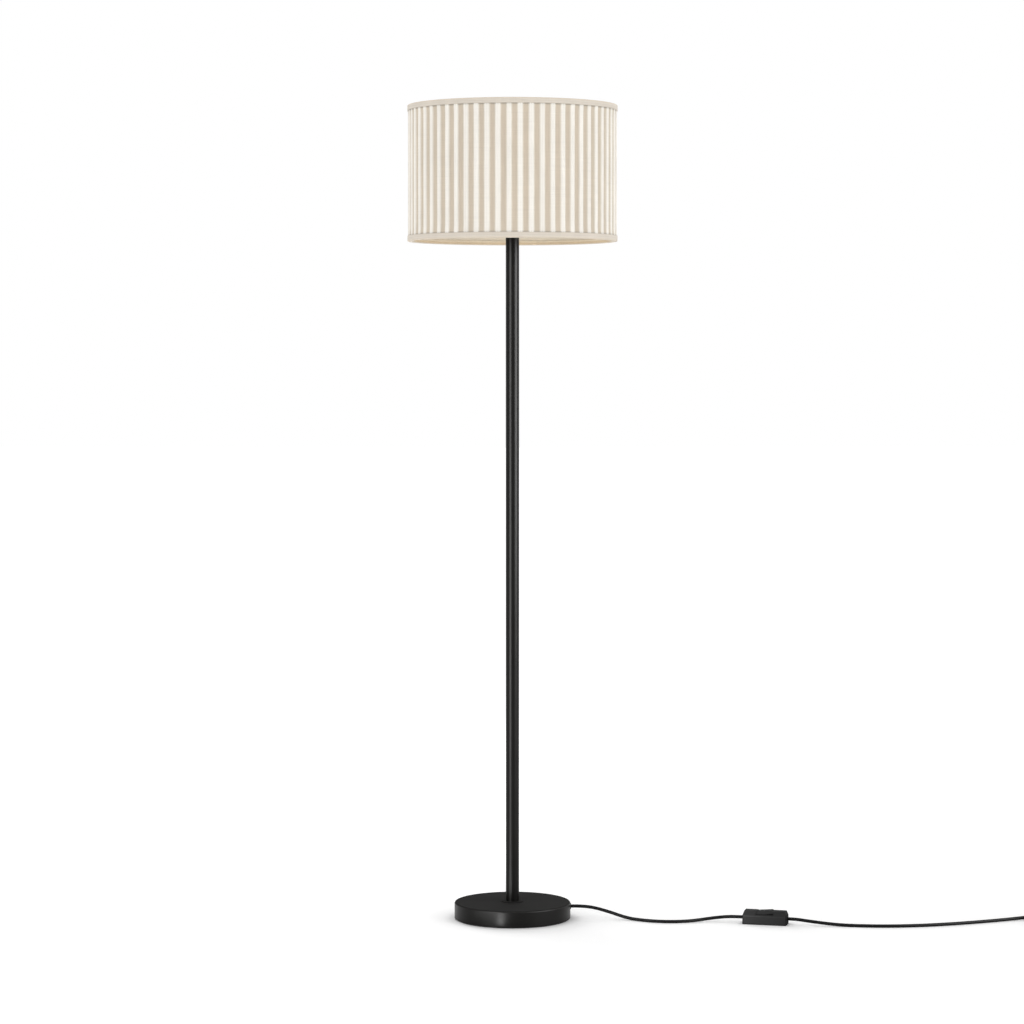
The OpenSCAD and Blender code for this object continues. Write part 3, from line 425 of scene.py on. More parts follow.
def tone_times(tree, tone, level):
    """A colour times a level, which may also lie above 1."""
    grey = node(tree, "ShaderNodeCombineColor", {"Red": level, "Green": level, "Blue": level})
    return mix_colour(tree, 1.0, tone, grey.outputs["Color"], "MULTIPLY")


def bump(tree, shader, height, strength, depth):
    """Relief from a height between 0 and 1, with its depth in millimetres."""
    made = node(
        tree, "ShaderNodeBump", {"Height": height, "Strength": strength, "Distance": depth * MM},
    )
    tree.links.new(made.outputs["Normal"], shader.inputs["Normal"])


# Hard materials

# Most of a noise lies between these two values
NOISE_LOW = 0.3
NOISE_HIGH = 0.7
PATCHES_PER_METRE = 14
# What patches and grain give to the gloss, and how strong the grain is in relief
PATCH_SHARE = 0.6
GRAIN_SHARE = 0.4
GRAIN_STRENGTH = 0.35


def grained(name, dark, light, rough, grain, depth, stretch=(1, 1, 1), **values):
    """A hard surface: two tones in slow patches, fine grain in bump, uneven gloss.
    rough is (lowest, highest), grain is the grains per metre, depth is in mm."""
    made, tree, shader = start_material(name, **values)
    at = stretched(tree, object_place(tree), stretch)
    patches = noise(tree, at, PATCHES_PER_METRE, detail=3)
    fine = noise(tree, at, grain, roughness=0.6)
    share = remap(tree, patches, NOISE_LOW, NOISE_HIGH, 0, 1)
    tree.links.new(mix_colour(tree, share, dark, light), shader.inputs["Base Color"])
    gloss = math_node(
        tree, "ADD", times(tree, patches, PATCH_SHARE), times(tree, fine, GRAIN_SHARE),
    )
    rough_here = remap(tree, gloss, NOISE_LOW, NOISE_HIGH, *rough)
    tree.links.new(rough_here, shader.inputs["Roughness"])
    bump(tree, shader, fine, GRAIN_STRENGTH, depth)
    return made


BLACK_SHINE = 0.1
POWDER_DARK = linear(10, 9, 8)
POWDER_LIGHT = linear(15, 14, 12)
HARD_LOOKS = {
    "black_powder_coat": dict(
        dark=POWDER_DARK, light=POWDER_LIGHT, rough=(0.26, 0.32), grain=1100, depth=0.03,
        Specular_IOR_Level=BLACK_SHINE,
    ),
    "black_plastic": dict(
        dark=linear(26, 26, 26), light=linear(34, 34, 34), rough=(0.4, 0.55), grain=1800,
        depth=0.04, Specular_IOR_Level=0.3,
    ),
    "switch_plastic": dict(
        dark=linear(48, 48, 48), light=linear(54, 54, 54), rough=(0.8, 0.9), grain=2200,
        depth=0.05, Specular_IOR_Level=0.05,
    ),
    "cord_sheath": dict(
        dark=linear(5, 5, 5), light=linear(9, 9, 9), rough=(0.48, 0.55), grain=1500,
        depth=0.015, Specular_IOR_Level=0.1,
    ),
    "foam_pad": dict(
        dark=linear(24, 24, 24), light=linear(40, 40, 40), rough=(0.85, 0.95), grain=900,
        depth=0.3,
    ),
    "cast_iron": dict(
        dark=linear(52, 52, 54), light=linear(82, 80, 78), rough=(0.55, 0.8), grain=450,
        depth=0.4, Metallic=0.6,
    ),
    "zinc_steel": dict(
        dark=linear(176, 178, 182), light=linear(204, 206, 208), rough=(0.28, 0.42), grain=1300,
        depth=0.02, stretch=(1, 1, 0.12), Metallic=1.0,
    ),
    "brass_parts": dict(
        dark=linear(196, 164, 92), light=linear(219, 190, 118), rough=(0.22, 0.38), grain=1300,
        depth=0.02, stretch=(0.15, 1, 1), Metallic=1.0,
    ),
    "ceramic_insert": dict(
        dark=linear(214, 208, 196), light=linear(228, 223, 212), rough=(0.5, 0.65), grain=1600,
        depth=0.05,
    ),
    "white_wire": dict(
        dark=linear(222, 219, 212), light=linear(232, 230, 224), rough=(0.28, 0.4), grain=700,
        depth=0.05,
    ),
    "opal_glass": dict(
        dark=linear(240, 238, 231), light=linear(246, 244, 238), rough=(0.1, 0.16), grain=500,
        depth=0.01, Subsurface_Weight=0.3, Subsurface_Scale=0.004,
    ),
    "bulb_plastic": dict(
        dark=linear(232, 230, 224), light=linear(239, 237, 232), rough=(0.4, 0.5), grain=1600,
        depth=0.03,
    ),
    "nickel_cap": dict(
        dark=linear(192, 192, 194), light=linear(214, 214, 216), rough=(0.16, 0.28), grain=1300,
        depth=0.02, stretch=(1, 1, 6), Metallic=1.0,
    ),
    "tip_glass": dict(
        dark=linear(30, 30, 34), light=linear(38, 38, 42), rough=(0.08, 0.15), grain=700,
        depth=0.01,
    ),
    "grip_plastic": dict(
        dark=linear(196, 192, 182), light=linear(208, 204, 196), rough=(0.45, 0.6), grain=1500,
        depth=0.04,
    ),
}
materials = {name: grained(name, **look) for name, look in HARD_LOOKS.items()}

# Base: over its last millimetres of height its gloss gives way to a dull top
DULL_FROM = 2
DULL_TO = 0.3
DULL_ROUGHNESS = 0.94


def base_coat():
    """The base's powder coat: its side shines a little and its top is dull."""
    made = grained(
        "black_base_coat", POWDER_DARK, POWDER_LIGHT, rough=(0.34, 0.4), grain=1100, depth=0.05,
        Specular_IOR_Level=BLACK_SHINE,
    )
    tree = made.node_tree
    rough = tree.nodes["Principled BSDF"].inputs["Roughness"]
    _, _, height = parts_of(tree, object_place(tree))
    dull = remap_mm(tree, height, BASE_H - DULL_FROM, BASE_H - DULL_TO, 0, 1)
    rougher = mix_number(tree, dull, rough.links[0].from_socket, DULL_ROUGHNESS)
    tree.links.new(rougher, rough)
    return made


def switch_place(tree):
    """Coordinates in metres in the switch's own frame: along, across and up."""
    turned = node(
        tree, "ShaderNodeMapping",
        {
            "Vector": object_place(tree),
            "Location": (SWITCH_AT[0] * MM, SWITCH_AT[1] * MM, 0),
            "Rotation": (0, 0, math.radians(SWITCH_TURN)),
        },
        vector_type="TEXTURE",
    )
    return parts_of(tree, turned.outputs["Vector"])


# Switch, painted light and shade: its tone at its two ends, lighter at the left where
# the light falls, its moulding line, a painted highlight, and what that line adds to the
# tone at the left and from the middle on, and the lighter tone below the line, painted light
SWITCH_LEFT_LIGHT = 1.25
SWITCH_RIGHT_LIGHT = 0.65
MOULD_LINE_Z = 15.2
MOULD_LINE_HALF = 1.2
HIGHLIGHT_LEFT_GAIN = 1.5
HIGHLIGHT_RIGHT_GAIN = 0.5
LOWER_PAINTED_LIGHT = 1.2
LOWER_FADE = 1
# Its dark edges, painted shade, and at the floor a painted contact shadow: tones, and
# the distances over which they fade, measured from the ends, from the floor, from the
# far side and from the top
END_PAINTED_SHADE = 0.2
END_FROM = 2.2
END_TO = 0.6
FOOT_PAINTED_SHADOW = 0.3
FOOT_FROM = 0.8
FOOT_TO = 2.2
FAR_FROM = 5
FAR_TO = 2.5
HIGH_FROM = 4
HIGH_TO = 2


def seam_highlight(tree, along, up):
    """The painted highlight along the moulding line: above 1 on the line and 1 elsewhere."""
    off_line = math_node(tree, "ABSOLUTE", math_node(tree, "SUBTRACT", up, MOULD_LINE_Z * MM))
    on_line = remap_mm(tree, off_line, 0, MOULD_LINE_HALF, 1, 0)
    gain = remap_mm(tree, along, -SWITCH_L / 2, 0, HIGHLIGHT_LEFT_GAIN, HIGHLIGHT_RIGHT_GAIN)
    return math_node(tree, "ADD", 1.0, times(tree, gain, on_line))


def paint_switch_light_and_shade(made):
    """Paints light and shade on the switch: its edges are darkened with painted shade,
    a painted highlight runs along the moulding line round its case, and it is painted
    paler below that line and towards the lamp, where the light falls."""
    tree = made.node_tree
    base = tree.nodes["Principled BSDF"].inputs["Base Color"]
    along, across, up = switch_place(tree)
    half_l = SWITCH_L / 2
    half_w = SWITCH_W / 2
    # Painted light: lighter at the left, where the light falls, and below the moulding line
    drift = remap_mm(tree, along, -half_l, half_l, SWITCH_LEFT_LIGHT, SWITCH_RIGHT_LIGHT)
    lower = remap_mm(tree, up, MOULD_LINE_Z, MOULD_LINE_Z - LOWER_FADE, 1, LOWER_PAINTED_LIGHT)
    line = seam_highlight(tree, along, up)
    # Painted shade at the ends and along the far top edge, and a painted contact shadow at the
    # floor
    from_middle = math_node(tree, "ABSOLUTE", along)
    ends = remap_mm(tree, from_middle, half_l - END_FROM, half_l - END_TO, 1, END_PAINTED_SHADE)
    foot = remap_mm(tree, up, FOOT_FROM, FOOT_TO, FOOT_PAINTED_SHADOW, 1)
    far = remap_mm(tree, across, half_w - FAR_FROM, half_w - FAR_TO, 0, 1)
    high = remap_mm(tree, up, SWITCH_H - HIGH_FROM, SWITCH_H - HIGH_TO, 0, 1)
    far_edge = math_node(tree, "SUBTRACT", 1.0, times(tree, far, high))
    level = times(tree, drift, lower, line, ends, foot, far_edge)
    tree.links.new(tone_times(tree, base.links[0].from_socket, level), base)


paint_switch_light_and_shade(materials["switch_plastic"])


# Cloth. Its map runs along the cloth: u is metres across, v is metres up.
THREADS = 1900
THREAD_STRENGTH = 0.5
# Slubs and mottles per metre, across the cloth and up it
SLUBS_UP = (900, 16, 1)
SLUBS_ACROSS = (14, 1100, 1)
MOTTLES = (22, 12, 1)
MOTTLE_DARK = 0.962
MOTTLE_LIGHT = 1.025
# Two sets of slubs together lie between these two values, and this is their
# height beside the threads
SLUB_LOW = 0.7
SLUB_HIGH = 1.3
SLUB_HEIGHT = 0.8

# The valleys' darker, warmer tone is painted shade
RIDGE_TONE = linear(249, 245, 237)
VALLEY_SHADE_TONE = linear(210, 197, 179)
# Share of a pleat's rise up to which the cloth has the valley's tone, its painted shade
VALLEY_SHARE = 0.12
# Share of its tone that a valley keeps where it goes under a trim, a painted shadow,
# and the distances from the trim over which it gets the rest back
TRIM_SHADE = 0.72
TRIM_SHADE_FROM = 0.6
TRIM_SHADE_TO = 2.6

LINER_TONE = linear(250, 240, 222)
TAPE_TONE = linear(220, 211, 198)
TAPE_RIM_TONE = linear(223, 211, 194)
TAPE_STRIPE_TONE = linear(210, 199, 184)
# Painted light: the tape's inner leg is warmer, and its end lighter, than the tape outside
TAPE_LEG_PAINTED_WARM_TONE = linear(227, 206, 175)
TAPE_END_PAINTED_LIGHT_TONE = linear(252, 240, 220)
# Woven stripes: their pitch, where a wave from -1 to 1 starts to show, its strength
STRIPE_PITCH = 3.6
STRIPE_FROM = -0.2
STRIPE_STRENGTH = 0.6


def threads(tree, u, v, pitch):
    """Height of a plain weave: threads over and under each other, from 0 to 1."""
    across = math_node(tree, "SINE", times(tree, u, pitch * math.pi))
    up = math_node(tree, "SINE", times(tree, v, pitch * math.pi))
    return math_node(tree, "ABSOLUTE", times(tree, across, up))


def cloth_map(tree):
    uv = node(tree, "ShaderNodeUVMap", uv_map="cloth").outputs["UV"]
    u, v, _ = parts_of(tree, uv)
    return uv, u, v


def fold_of(tree):
    return node(tree, "ShaderNodeAttribute", attribute_name="fold").outputs["Fac"]


def cloth_surface(tree, shader, tone, uv, u, v, streaks, weave_depth):
    """Adds slubs, streaks and weave to a cloth of the given tone."""
    slub_up = noise(tree, stretched(tree, uv, SLUBS_UP), 1)
    slub_across = noise(tree, stretched(tree, uv, SLUBS_ACROSS), 1)
    mottle = noise(tree, stretched(tree, uv, MOTTLES), 1, detail=3)
    slubs = math_node(tree, "ADD", slub_up, slub_across)
    shade = remap(tree, slubs, SLUB_LOW, SLUB_HIGH, 1 - streaks, 1 + streaks)
    drift = remap(tree, mottle, NOISE_LOW, NOISE_HIGH, MOTTLE_DARK, MOTTLE_LIGHT)
    toned = tone_times(tree, tone, times(tree, shade, drift))
    tree.links.new(toned, shader.inputs["Base Color"])
    weave = threads(tree, u, v, THREADS)
    height = math_node(tree, "ADD", weave, times(tree, slubs, SLUB_HEIGHT))
    bump(tree, shader, height, THREAD_STRENGTH, weave_depth)


def pleated_cloth():
    """The cover's cloth: pale ridges, and valleys in painted shade, darker still
    where they go under a trim: a painted shadow. Its fold attribute is 0 in a valley
    and 1 on a crest."""
    made, tree, shader = start_material(
        "pleated_cloth", Roughness=0.9, Specular_IOR_Level=0.2, Sheen_Weight=0.12,
        Sheen_Roughness=0.5,
    )
    uv, u, v = cloth_map(tree)
    lifted = remap(tree, fold_of(tree), VALLEY_SHARE, 1, 0, 1)
    # Painted shade: the valleys take a darker tone than the ridges
    tone = mix_colour(tree, lifted, VALLEY_SHADE_TONE, RIDGE_TONE)
    # Painted shadow: a valley darkens next to a trim
    from_low = math_node(tree, "SUBTRACT", v, (SHADE_BOTTOM + TRIM_H) * MM)
    from_high = math_node(tree, "SUBTRACT", (SHADE_TOP - TRIM_H) * MM, v)
    from_trim = math_node(tree, "MINIMUM", from_low, from_high)
    shaded = remap_mm(tree, from_trim, TRIM_SHADE_FROM, TRIM_SHADE_TO, TRIM_SHADE, 1)
    tone = tone_times(tree, tone, math_node(tree, "MAXIMUM", shaded, lifted))
    cloth_surface(tree, shader, tone, uv, u, v, streaks=0.05, weave_depth=0.08)
    return made


def trim_tape():
    """Trim tape: the selvedge and the woven stripes run along it. Its fold attribute
    is 1 over the rim, 2 on the leg inside the shade and 3 at that leg's end. The leg
    inside is painted warmer and its end lighter: painted light inside the shade."""
    made, tree, shader = start_material(
        "trim_tape", Roughness=0.85, Specular_IOR_Level=0.25, Sheen_Weight=0.1,
        Sheen_Roughness=0.5,
    )
    uv, u, v = cloth_map(tree)
    fold = fold_of(tree)
    wave = math_node(tree, "SINE", times(tree, v, 2 * math.pi / (STRIPE_PITCH * MM)))
    stripe = remap(tree, wave, STRIPE_FROM, 1, 0, STRIPE_STRENGTH)
    tone = mix_colour(tree, stripe, TAPE_TONE, TAPE_STRIPE_TONE)
    for start, next_tone in enumerate((TAPE_RIM_TONE, TAPE_LEG_PAINTED_WARM_TONE, TAPE_END_PAINTED_LIGHT_TONE)):
        tone = mix_colour(tree, remap(tree, fold, start, start + 1, 0, 1), tone, next_tone)
    cloth_surface(tree, shader, tone, uv, u, v, streaks=0.045, weave_depth=0.12)
    return made


def liner_cloth():
    made, tree, shader = start_material("shade_liner", Roughness=0.8, Specular_IOR_Level=0.25)
    uv, u, v = cloth_map(tree)
    cloth_surface(tree, shader, LINER_TONE, uv, u, v, streaks=0.03, weave_depth=0.05)
    return made


materials["pleated_cloth"] = pleated_cloth()
materials["trim_tape"] = trim_tape()
materials["shade_liner"] = liner_cloth()

# Each CAD piece comes with a plain material that bears the name of its slot
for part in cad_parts.values():
    for held in part.material_slots:
        held.material = materials[held.material.name]
dull_black = base_coat()
for name in ("base_cover", "pole_foot_ring"):
    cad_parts[name].material_slots[0].material = dull_black
for lead in (lead_to_switch, lead_to_plug, lead_inside):
    lead.data.materials.append(materials["cord_sheath"])


# Shade pieces. Each is a closed sheet, made from loops that run round the shade.
def sheet_piece(name, loops, spans, heights, folds, slot_name):
    """loops[i][j] is point j round the shade on loop i, in mm. The loops close on
    each other, so the sheet is a tube's wall. spans[j] and heights[i] are its map
    in mm, and folds[i][j] is its attribute for the material."""
    rows, columns = len(loops), len(loops[0])
    points = np.array(loops, float).reshape(-1, 3) * MM
    row, column = np.meshgrid(np.arange(rows), np.arange(columns), indexing="ij")
    next_row, next_column = (row + 1) % rows, (column + 1) % columns
    faces = np.stack(
        [row * columns + column, row * columns + next_column,
         next_row * columns + next_column, next_row * columns + column], axis=-1,
    ).reshape(-1, 4)
    mesh = bpy.data.meshes.new(name)
    mesh.from_pydata(points.tolist(), [], faces.tolist())
    fold = mesh.attributes.new("fold", "FLOAT", "POINT")
    fold.data.foreach_set("value", np.array(folds, np.float32).ravel())
    across = np.array(list(spans), float)
    up = np.array(list(heights), float)
    u = np.stack([across[column], across[column + 1], across[column + 1], across[column]], axis=-1)
    v = np.stack([up[row], up[row], up[row + 1], up[row + 1]], axis=-1)
    layer = mesh.uv_layers.new(name="cloth")
    layer.data.foreach_set("uv", (np.stack([u, v], axis=-1) * MM).astype(np.float32).ravel())
    mesh.shade_smooth()
    piece = bpy.data.objects.new(name, mesh)
    bpy.context.scene.collection.objects.link(piece)
    mesh.materials.append(materials[slot_name])
    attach(piece, LAMP)
    return piece


def running_length(points):
    """Lengths along a closed line, from its first point and back to it."""
    closed = np.vstack([points, points[:1]])
    steps = np.linalg.norm(np.diff(closed, axis=0), axis=1)
    return np.concatenate([[0], np.cumsum(steps)])


def to_points(angles, radii, z):
    a = np.radians(angles)
    return np.stack([radii * np.cos(a), radii * np.sin(a), np.full(len(a), z)], axis=-1)


def from_axis(points):
    return np.hypot(points[:, 0], points[:, 1])


def angle_off(angles, middle):
    """Degrees between each angle and the middle, the short way round."""
    return np.abs((angles - middle + 180) % 360 - 180)


class Pleat:
    """One pleat's small departures from the regular form."""

    def __init__(self):
        self.shift = chance.uniform(*PLEAT_SHIFT)
        self.width = chance.uniform(*PLEAT_WIDTH)
        self.drop = chance.uniform(*PLEAT_DROP)
        self.sway = chance.uniform(*PLEAT_SWAY)
        self.phase = chance.uniform(0, 2 * math.pi)
        self.waves = chance.uniform(*PLEAT_WAVES)

    def lean(self, f):
        return self.shift + self.sway * math.sin(self.phase + 2 * math.pi * self.waves * f)


def pleat_loop(pleats, f, pressed):
    """The outer face of the pleats at the share f of the cloth's height, seen from
    above: angles in degrees and radii in mm. pressed is how far the valleys are
    flattened, from 0 to 1."""
    angles, radii = [], []
    pitch = 360 / PLEATS
    valley = (-pitch / 2, HALF_PLEAT[-1][1])
    left = [(-a, d) for a, d in reversed(HALF_PLEAT[1:])]
    for k, pleat in enumerate(pleats):
        middle = FRONT + PLEAT_TURN + k * pitch
        for a, d in [valley] + left + HALF_PLEAT:
            hold = 1 - ease((abs(a) - HOLD_FROM) / HOLD_FADE)
            angles.append(middle + a * (1 + (pleat.width - 1) * hold) + pleat.lean(f) * hold)
            radii.append(RIDGE_R - d * (1 - pressed) - pleat.drop * (1 - d / PLEAT_DEPTH))
    return np.array(angles), np.array(radii)


def inset(points, by):
    """Moves a closed line seen from above inwards by a distance, square to itself."""
    ahead, behind = np.roll(points, -1, axis=0), np.roll(points, 1, axis=0)
    way = ahead - behind
    way /= np.linalg.norm(way, axis=1)[:, None]
    out = np.stack([way[:, 1], -way[:, 0], np.zeros(len(way))], axis=-1)
    return points - by * out


def cover_levels():
    """Heights of the cover's rows, which are closest near its edges."""
    last = EDGE_ROWS[-1]
    low = [CLOTH_BOTTOM + d for d in EDGE_ROWS[:-1]]
    middle = list(np.linspace(CLOTH_BOTTOM + last, CLOTH_TOP - last, MIDDLE_ROWS))
    high = [CLOTH_TOP - d for d in EDGE_ROWS[-2::-1]]
    return low + middle + high


def make_cover():
    """The pleated cover, and its length along the folds in metres."""
    pleats = [Pleat() for k in range(PLEATS)]
    outer, inner, folds = [], [], []
    heights = cover_levels()
    for z in heights:
        f = (z - CLOTH_BOTTOM) / (CLOTH_TOP - CLOTH_BOTTOM)
        free = max(min(z - CLOTH_BOTTOM, CLOTH_TOP - z) - TRIM_H, 0)
        pressed = PRESSED_SHARE * math.exp(-((free / PRESSED_FADE) ** 2))
        angles, radii = pleat_loop(pleats, f, pressed)
        line = to_points(angles, radii, z)
        outer.append(line)
        inner.append(inset(line, CLOTH_T))
        folds.append(np.clip(1 - (RIDGE_R - radii) / (PLEAT_DEPTH * (1 - pressed)), 0, 1))
    spans = running_length(outer[0])
    loops = outer + inner[::-1]
    ups = heights + heights[::-1] + heights[:1]
    piece = sheet_piece("pleated_cover", loops, spans, ups, folds + folds[::-1], "pleated_cloth")
    return piece, spans[-1] * MM


def make_liner():
    """The stiff liner, with a lapped seam at the back."""
    angles = np.linspace(0, 360, LINER_COLUMNS, endpoint=False)
    lap = math.degrees(LINER_LAP / LINER_INNER)
    thick = LINER_LAP_T * (angle_off(angles, BACK) < lap / 2)
    steps = np.linspace(CLOTH_BOTTOM, CLOTH_TOP, LINER_ROWS)
    outer = [to_points(angles, np.full(LINER_COLUMNS, LINER_OUTER), z) for z in steps]
    inner = [to_points(angles, LINER_INNER - thick, z) for z in steps]
    spans = running_length(outer[0])
    ups = np.concatenate([steps, steps[::-1], steps[:1]])
    flat = [np.zeros(LINER_COLUMNS)] * (2 * LINER_ROWS)
    return sheet_piece("shade_liner_sheet", outer + inner[::-1], spans, ups, flat, "shade_liner")


def outer_leg():
    rows = []
    for drop in np.linspace(TRIM_H, TRIM_BEND_R, OUTER_LEG_ROWS):
        rib = RIB_H * (1 - math.cos(2 * math.pi * drop / RIB_PITCH)) / 2
        dip = ease((drop - DIP_FROM) / DIP_FADE)
        fold = ease((FACE_FROM - drop) / FACE_FADE)
        rows.append((SHADE_R - rib, drop, dip, fold))
    return rows


def rim_rows():
    """Over the rim: a bend, a flat stretch and a bend."""
    sines = [math.sin(math.radians(a)) for a in BEND_ANGLES]
    cosines = [math.cos(math.radians(a)) for a in BEND_ANGLES]
    turns = list(zip(sines, cosines))
    flat = TRIM_INNER + 2 * TRIM_BEND_R - SHADE_R
    rows = [(SHADE_R - TRIM_BEND_R * (1 - c), TRIM_BEND_R * (1 - s), 0, 1) for s, c in turns]
    for share in np.linspace(0, 1, RIM_ROWS):
        rows.append((SHADE_R - TRIM_BEND_R + flat * share, 0, 0, 1))
    rows += [(TRIM_INNER + TRIM_BEND_R * (1 - s), TRIM_BEND_R * (1 - c), 0, 1) for s, c in turns]
    return rows


def inner_leg(low):
    """Upright down to the wire ring, then leaning out to the liner."""
    full_lean = LINER_INNER - TRIM_T - LEAN_GAP - TRIM_INNER
    rows = []
    for share in np.linspace(0, 1, INNER_LEG_ROWS):
        drop = TRIM_BEND_R + max(low - TRIM_BEND_R, 0) * share
        lean = full_lean * ease((drop - RING_DROP) / (TRIM_TURN_H - RING_DROP))
        rows.append((TRIM_INNER + lean, drop, 0, 2 + ease((drop - RING_DROP) / TAPE_END_FADE)))
    return rows


def tape_section(low):
    """The tape's section from its outer free edge over the shade's rim to its inner
    free edge: (radius, drop from the rim, dip share, fold share). low is how far
    its inner leg hangs."""
    return outer_leg() + rim_rows() + inner_leg(low)


# Keeps a step of no length from dividing by nothing, where the tape is cut short
TINY = 1e-9


def tape_back(face, angles, way):
    """The tape's other side: each line of its face moved inwards by its thickness,
    square to the tape's section."""
    a = np.radians(angles)
    radial = np.stack([np.cos(a), np.sin(a), np.zeros(len(a))], axis=-1)
    back = []
    for i, line in enumerate(face):
        before, after = face[max(i - 1, 0)], face[min(i + 1, len(face) - 1)]
        rise = after[:, 2] - before[:, 2]
        away = from_axis(after) - from_axis(before)
        size = np.hypot(away, rise) + TINY
        inwards = -radial * (way * rise / size)[:, None]
        inwards[:, 2] += way * away / size
        back.append(line + inwards * TRIM_T)
    return back


def notches(angles):
    """True where the tape is cut short for an arm of the fitter."""
    cut = np.zeros(len(angles), bool)
    for arm in ARM_ANGLES:
        cut |= math.radians(1) * TRIM_INNER * angle_off(angles, arm) < NOTCH_HALF
    return cut


def make_trim(name, rim, way, notched):
    """A band of tape folded over the rim, way being 1 on top and -1 underneath."""
    count = PLEATS * TRIM_STEPS
    angles = FRONT + PLEAT_TURN + np.arange(count) * 360 / count
    a = np.radians(angles)
    full, short = tape_section(TRIM_TURN_H), tape_section(NOTCH_H)
    valley = (1 - np.cos(np.radians(angles - FRONT - PLEAT_TURN) * PLEATS)) / 2
    cut = notches(angles) & notched
    wander = sum(height * np.sin(a * waves + phase) for height, waves, phase in EDGE_WAVES)
    face, folds = [], []
    for (r, drop, dip, fold), (_, short_drop, _, _) in zip(full, short):
        free = ease((drop - WANDER_FROM) / WANDER_FADE) if fold < 1 else 0
        down = np.where(cut, min(drop, short_drop), drop) if fold > 1 else drop
        line = to_points(angles, r - TRIM_DIP * dip * valley, 0)
        line[:, 2] = rim - way * (down + free * wander)
        face.append(line)
        folds.append(np.full(count, fold))
    ups = [0]
    for (r, drop, _, _), (next_r, next_drop, _, _) in zip(full, full[1:]):
        ups.append(ups[-1] + math.hypot(next_r - r, next_drop - drop))
    loops = face + tape_back(face, angles, way)[::-1]
    if way < 0:
        loops = [loop[::-1] for loop in loops]
    spans = running_length(face[0])
    return sheet_piece(name, loops, spans, ups + ups[::-1] + [0], folds + folds[::-1], "trim_tape")


cover, cover_length = make_cover()
liner = make_liner()
top_trim = make_trim("trim_top", SHADE_TOP, 1, True)
bottom_trim = make_trim("trim_bottom", SHADE_BOTTOM, -1, False)
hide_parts("shade_cover")
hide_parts("shade_liner")
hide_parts("shade_top_trim")
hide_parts("shade_bottom_trim")


# Floor, light and world. Places and sizes of lights are in metres.
FLOOR_HALF = 30
FLOOR_CUTS = 2
FLOOR_WHITE = 0.92
# Glow of the floor at the lamp and its cord, and away from them. Between them is
# an oval ring round a centre: its stretch, and its inner and outer distance along Y.
NEAR_GLOW = 0.17
FAR_GLOW = 0.5
GLOW_CENTRE = (0.55, 0, 0)
GLOW_STRETCH = (2, 1, 1)
GLOW_START = 0.33
GLOW_END = 0.75
# Distances from the base and from the switch, in millimetres, over which the glow
# rises from nothing, which paints a contact shadow round them
BASE_CONTACT = 20
SWITCH_CONTACT = 10
# Strength of the world straight above, and what it gains down to the horizon
FILL_TOP = 0.27
FILL_SIDE = 0.94
# Height at which a card lies above the floor
CARD_Z = 0.002


def white_where_seen(tree):
    """1 for a ray that looks at the background: from the camera, or by way of
    gloss or glass. 0 for the rest."""
    path = node(tree, "ShaderNodeLightPath").outputs
    seen = math_node(tree, "MAXIMUM", path["Is Camera Ray"], path["Is Glossy Ray"])
    return math_node(tree, "MAXIMUM", seen, path["Is Transmission Ray"])


def length_of(tree, vector):
    return node(tree, "ShaderNodeVectorMath", {0: vector}, operation="LENGTH").outputs["Value"]


def oval_glow(tree, at):
    """The floor's glow, weaker in an oval round the lamp and its cord."""
    from_centre = node(
        tree, "ShaderNodeMapping", {"Vector": at, "Location": GLOW_CENTRE, "Scale": GLOW_STRETCH},
        vector_type="TEXTURE",
    ).outputs["Vector"]
    away = length_of(tree, from_centre)
    return remap(tree, away, GLOW_START, GLOW_END, NEAR_GLOW, FAR_GLOW)


def past_half(tree, along, size):
    """How far a place lies beyond half a size, in metres."""
    return math_node(tree, "SUBTRACT", math_node(tree, "ABSOLUTE", along), size / 2 * MM)


def contact_shadow_level(tree, at):
    """A painted contact shadow: 0 where the base or the switch stands, and 1 a little
    away from them.
    """
    by_base = remap_mm(tree, length_of(tree, at), BASE_R, BASE_R + BASE_CONTACT, 0, 1)
    along, across, _ = switch_place(tree)
    past_end = past_half(tree, along, SWITCH_L)
    past_side = past_half(tree, across, SWITCH_W)
    beyond = math_node(tree, "MAXIMUM", past_end, past_side)
    by_switch = remap_mm(tree, beyond, 0, SWITCH_CONTACT, 0, 1)
    return times(tree, by_base, by_switch)


def floor_material():
    made = bpy.data.materials.new("floor")
    made.use_nodes = True
    tree = made.node_tree
    tree.nodes.clear()
    at = object_place(tree)
    level = times(tree, oval_glow(tree, at), contact_shadow_level(tree, at))
    strength = times(tree, white_where_seen(tree), level)
    white = (FLOOR_WHITE, FLOOR_WHITE, FLOOR_WHITE, 1)
    diffuse = node(tree, "ShaderNodeBsdfDiffuse", {"Color": white})
    glow = node(tree, "ShaderNodeEmission", {"Strength": strength})
    both = node(tree, "ShaderNodeAddShader", {0: diffuse.outputs[0], 1: glow.outputs[0]})
    node(tree, "ShaderNodeOutputMaterial", {"Surface": both.outputs[0]})
    return made


def make_floor():
    mesh = bpy.data.meshes.new("floor")
    grid = bmesh.new()
    bmesh.ops.create_grid(grid, x_segments=FLOOR_CUTS, y_segments=FLOOR_CUTS, size=FLOOR_HALF)
    grid.to_mesh(mesh)
    grid.free()
    mesh.materials.append(floor_material())
    plane = bpy.data.objects.new("floor", mesh)
    bpy.context.scene.collection.objects.link(plane)
    return plane


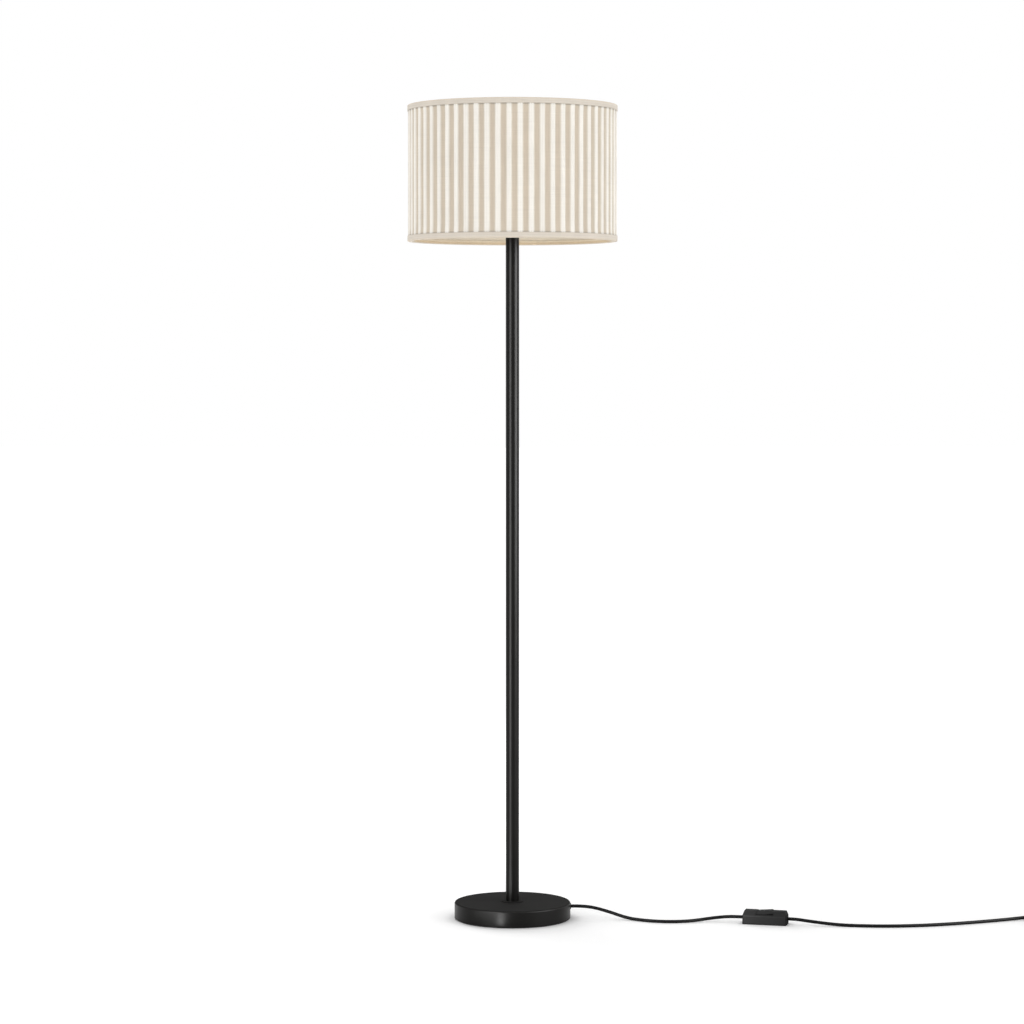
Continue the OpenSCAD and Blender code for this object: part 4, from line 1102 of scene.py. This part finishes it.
def make_world():
    """An even fill that is weaker from above, and white where it is seen."""
    world = bpy.data.worlds.new("studio")
    bpy.context.scene.world = world
    world.use_nodes = True
    tree = world.node_tree
    tree.nodes.clear()
    _, _, rise = parts_of(tree, node(tree, "ShaderNodeTexCoord").outputs["Generated"])
    lowness = math_node(tree, "SUBTRACT", 1.0, times(tree, rise, rise))
    fill = math_node(tree, "ADD", times(tree, lowness, FILL_SIDE), FILL_TOP)
    strength = mix_number(tree, white_where_seen(tree), fill, 1.0)
    light = node(tree, "ShaderNodeBackground", {"Color": (1, 1, 1, 1), "Strength": strength})
    node(tree, "ShaderNodeOutputWorld", {"Surface": light.outputs[0]})


def area_lamp(name, width, length, radiance, at, rotation):
    data = bpy.data.lights.new(name, "AREA")
    data.shape = "RECTANGLE"
    data.size = width
    data.size_y = length
    data.energy = radiance * math.pi * width * length
    light = bpy.data.objects.new(name, data)
    light.location = at
    light.rotation_euler = rotation
    bpy.context.scene.collection.objects.link(light)
    return light


def at_azimuth(azimuth, distance, height):
    """A place round the lamp. Azimuth 0 is at the camera, 90 is at the right."""
    a = math.radians(azimuth)
    return distance * math.sin(a), -distance * math.cos(a), height


def floor_card(name, azimuth, near, far, width, radiance, turn):
    """A rectangular lamp that lies on the floor and faces up, as long as from near to
    far. Its length points to the azimuth turn."""
    at = at_azimuth(azimuth, (near + far) / 2, CARD_Z)
    rotation = (math.radians(180), 0, math.radians(turn))
    return area_lamp(name, width, far - near, radiance, at, rotation)


def softbox(name, azimuth, distance, low, high, width, radiance):
    """An upright rectangular lamp, from one height to another, that faces the axis."""
    at = at_azimuth(azimuth, distance, (low + high) / 2)
    rotation = (math.radians(90), 0, math.radians(azimuth))
    return area_lamp(name, width, high - low, radiance, at, rotation)


def light_only(light, pieces):
    """Keeps a light's effect to some pieces. It stays out of sight and out of gloss."""
    lit = bpy.data.collections.new(light.name + "_receivers")
    for piece in pieces:
        lit.objects.link(piece)
    light.light_linking.receiver_collection = lit
    light.visible_glossy = False
    light.visible_camera = False


def make_lights(floor, inner_faces):
    # Soft light from both sides, which stays out of gloss
    sides = [
        softbox(
            "softbox_left", azimuth=-42, distance=2.8, low=0.2, high=2.4, width=1.0, radiance=1.0,
        ),
        softbox(
            "softbox_right", azimuth=58, distance=2.8, low=0.2, high=2.4, width=1.0, radiance=1.6,
        ),
    ]
    for light in sides:
        light.visible_glossy = False
    # Cards that act in gloss alone, for the highlights of pole, base and foot
    cards = [
        softbox(
            "card_left", azimuth=-37, distance=1.3, low=0.03, high=1.5, width=0.6, radiance=15,
        ),
        softbox(
            "card_right", azimuth=64, distance=2.8, low=0.4, high=2.1, width=2.0, radiance=19,
        ),
        floor_card(
            "card_base", azimuth=-17.3, near=0.13, far=0.26, width=0.02, radiance=36, turn=-25,
        ),
        floor_card(
            "card_foot", azimuth=-37, near=0.2, far=1.2, width=0.28, radiance=8.5, turn=-37,
        ),
    ]
    for card in cards:
        card.visible_diffuse = False
        card.visible_camera = False
    # Light from behind, on the floor alone, which lays the base's shadow to the front
    backlight = softbox(
        "backlight", azimuth=-150, distance=2.8, low=0.5, high=2.0, width=1.5, radiance=6,
    )
    light_only(backlight, [floor])
    # Light inside the shade, on its inner faces alone
    inside_fill = softbox(
        "inside_fill", azimuth=0, distance=0.12, low=1.3, high=1.36, width=0.24, radiance=1.4,
    )
    light_only(inside_fill, inner_faces)


studio_floor = make_floor()
make_world()
make_lights(studio_floor, [liner, top_trim, bottom_trim])
bpy.context.scene.view_settings.view_transform = "Standard"
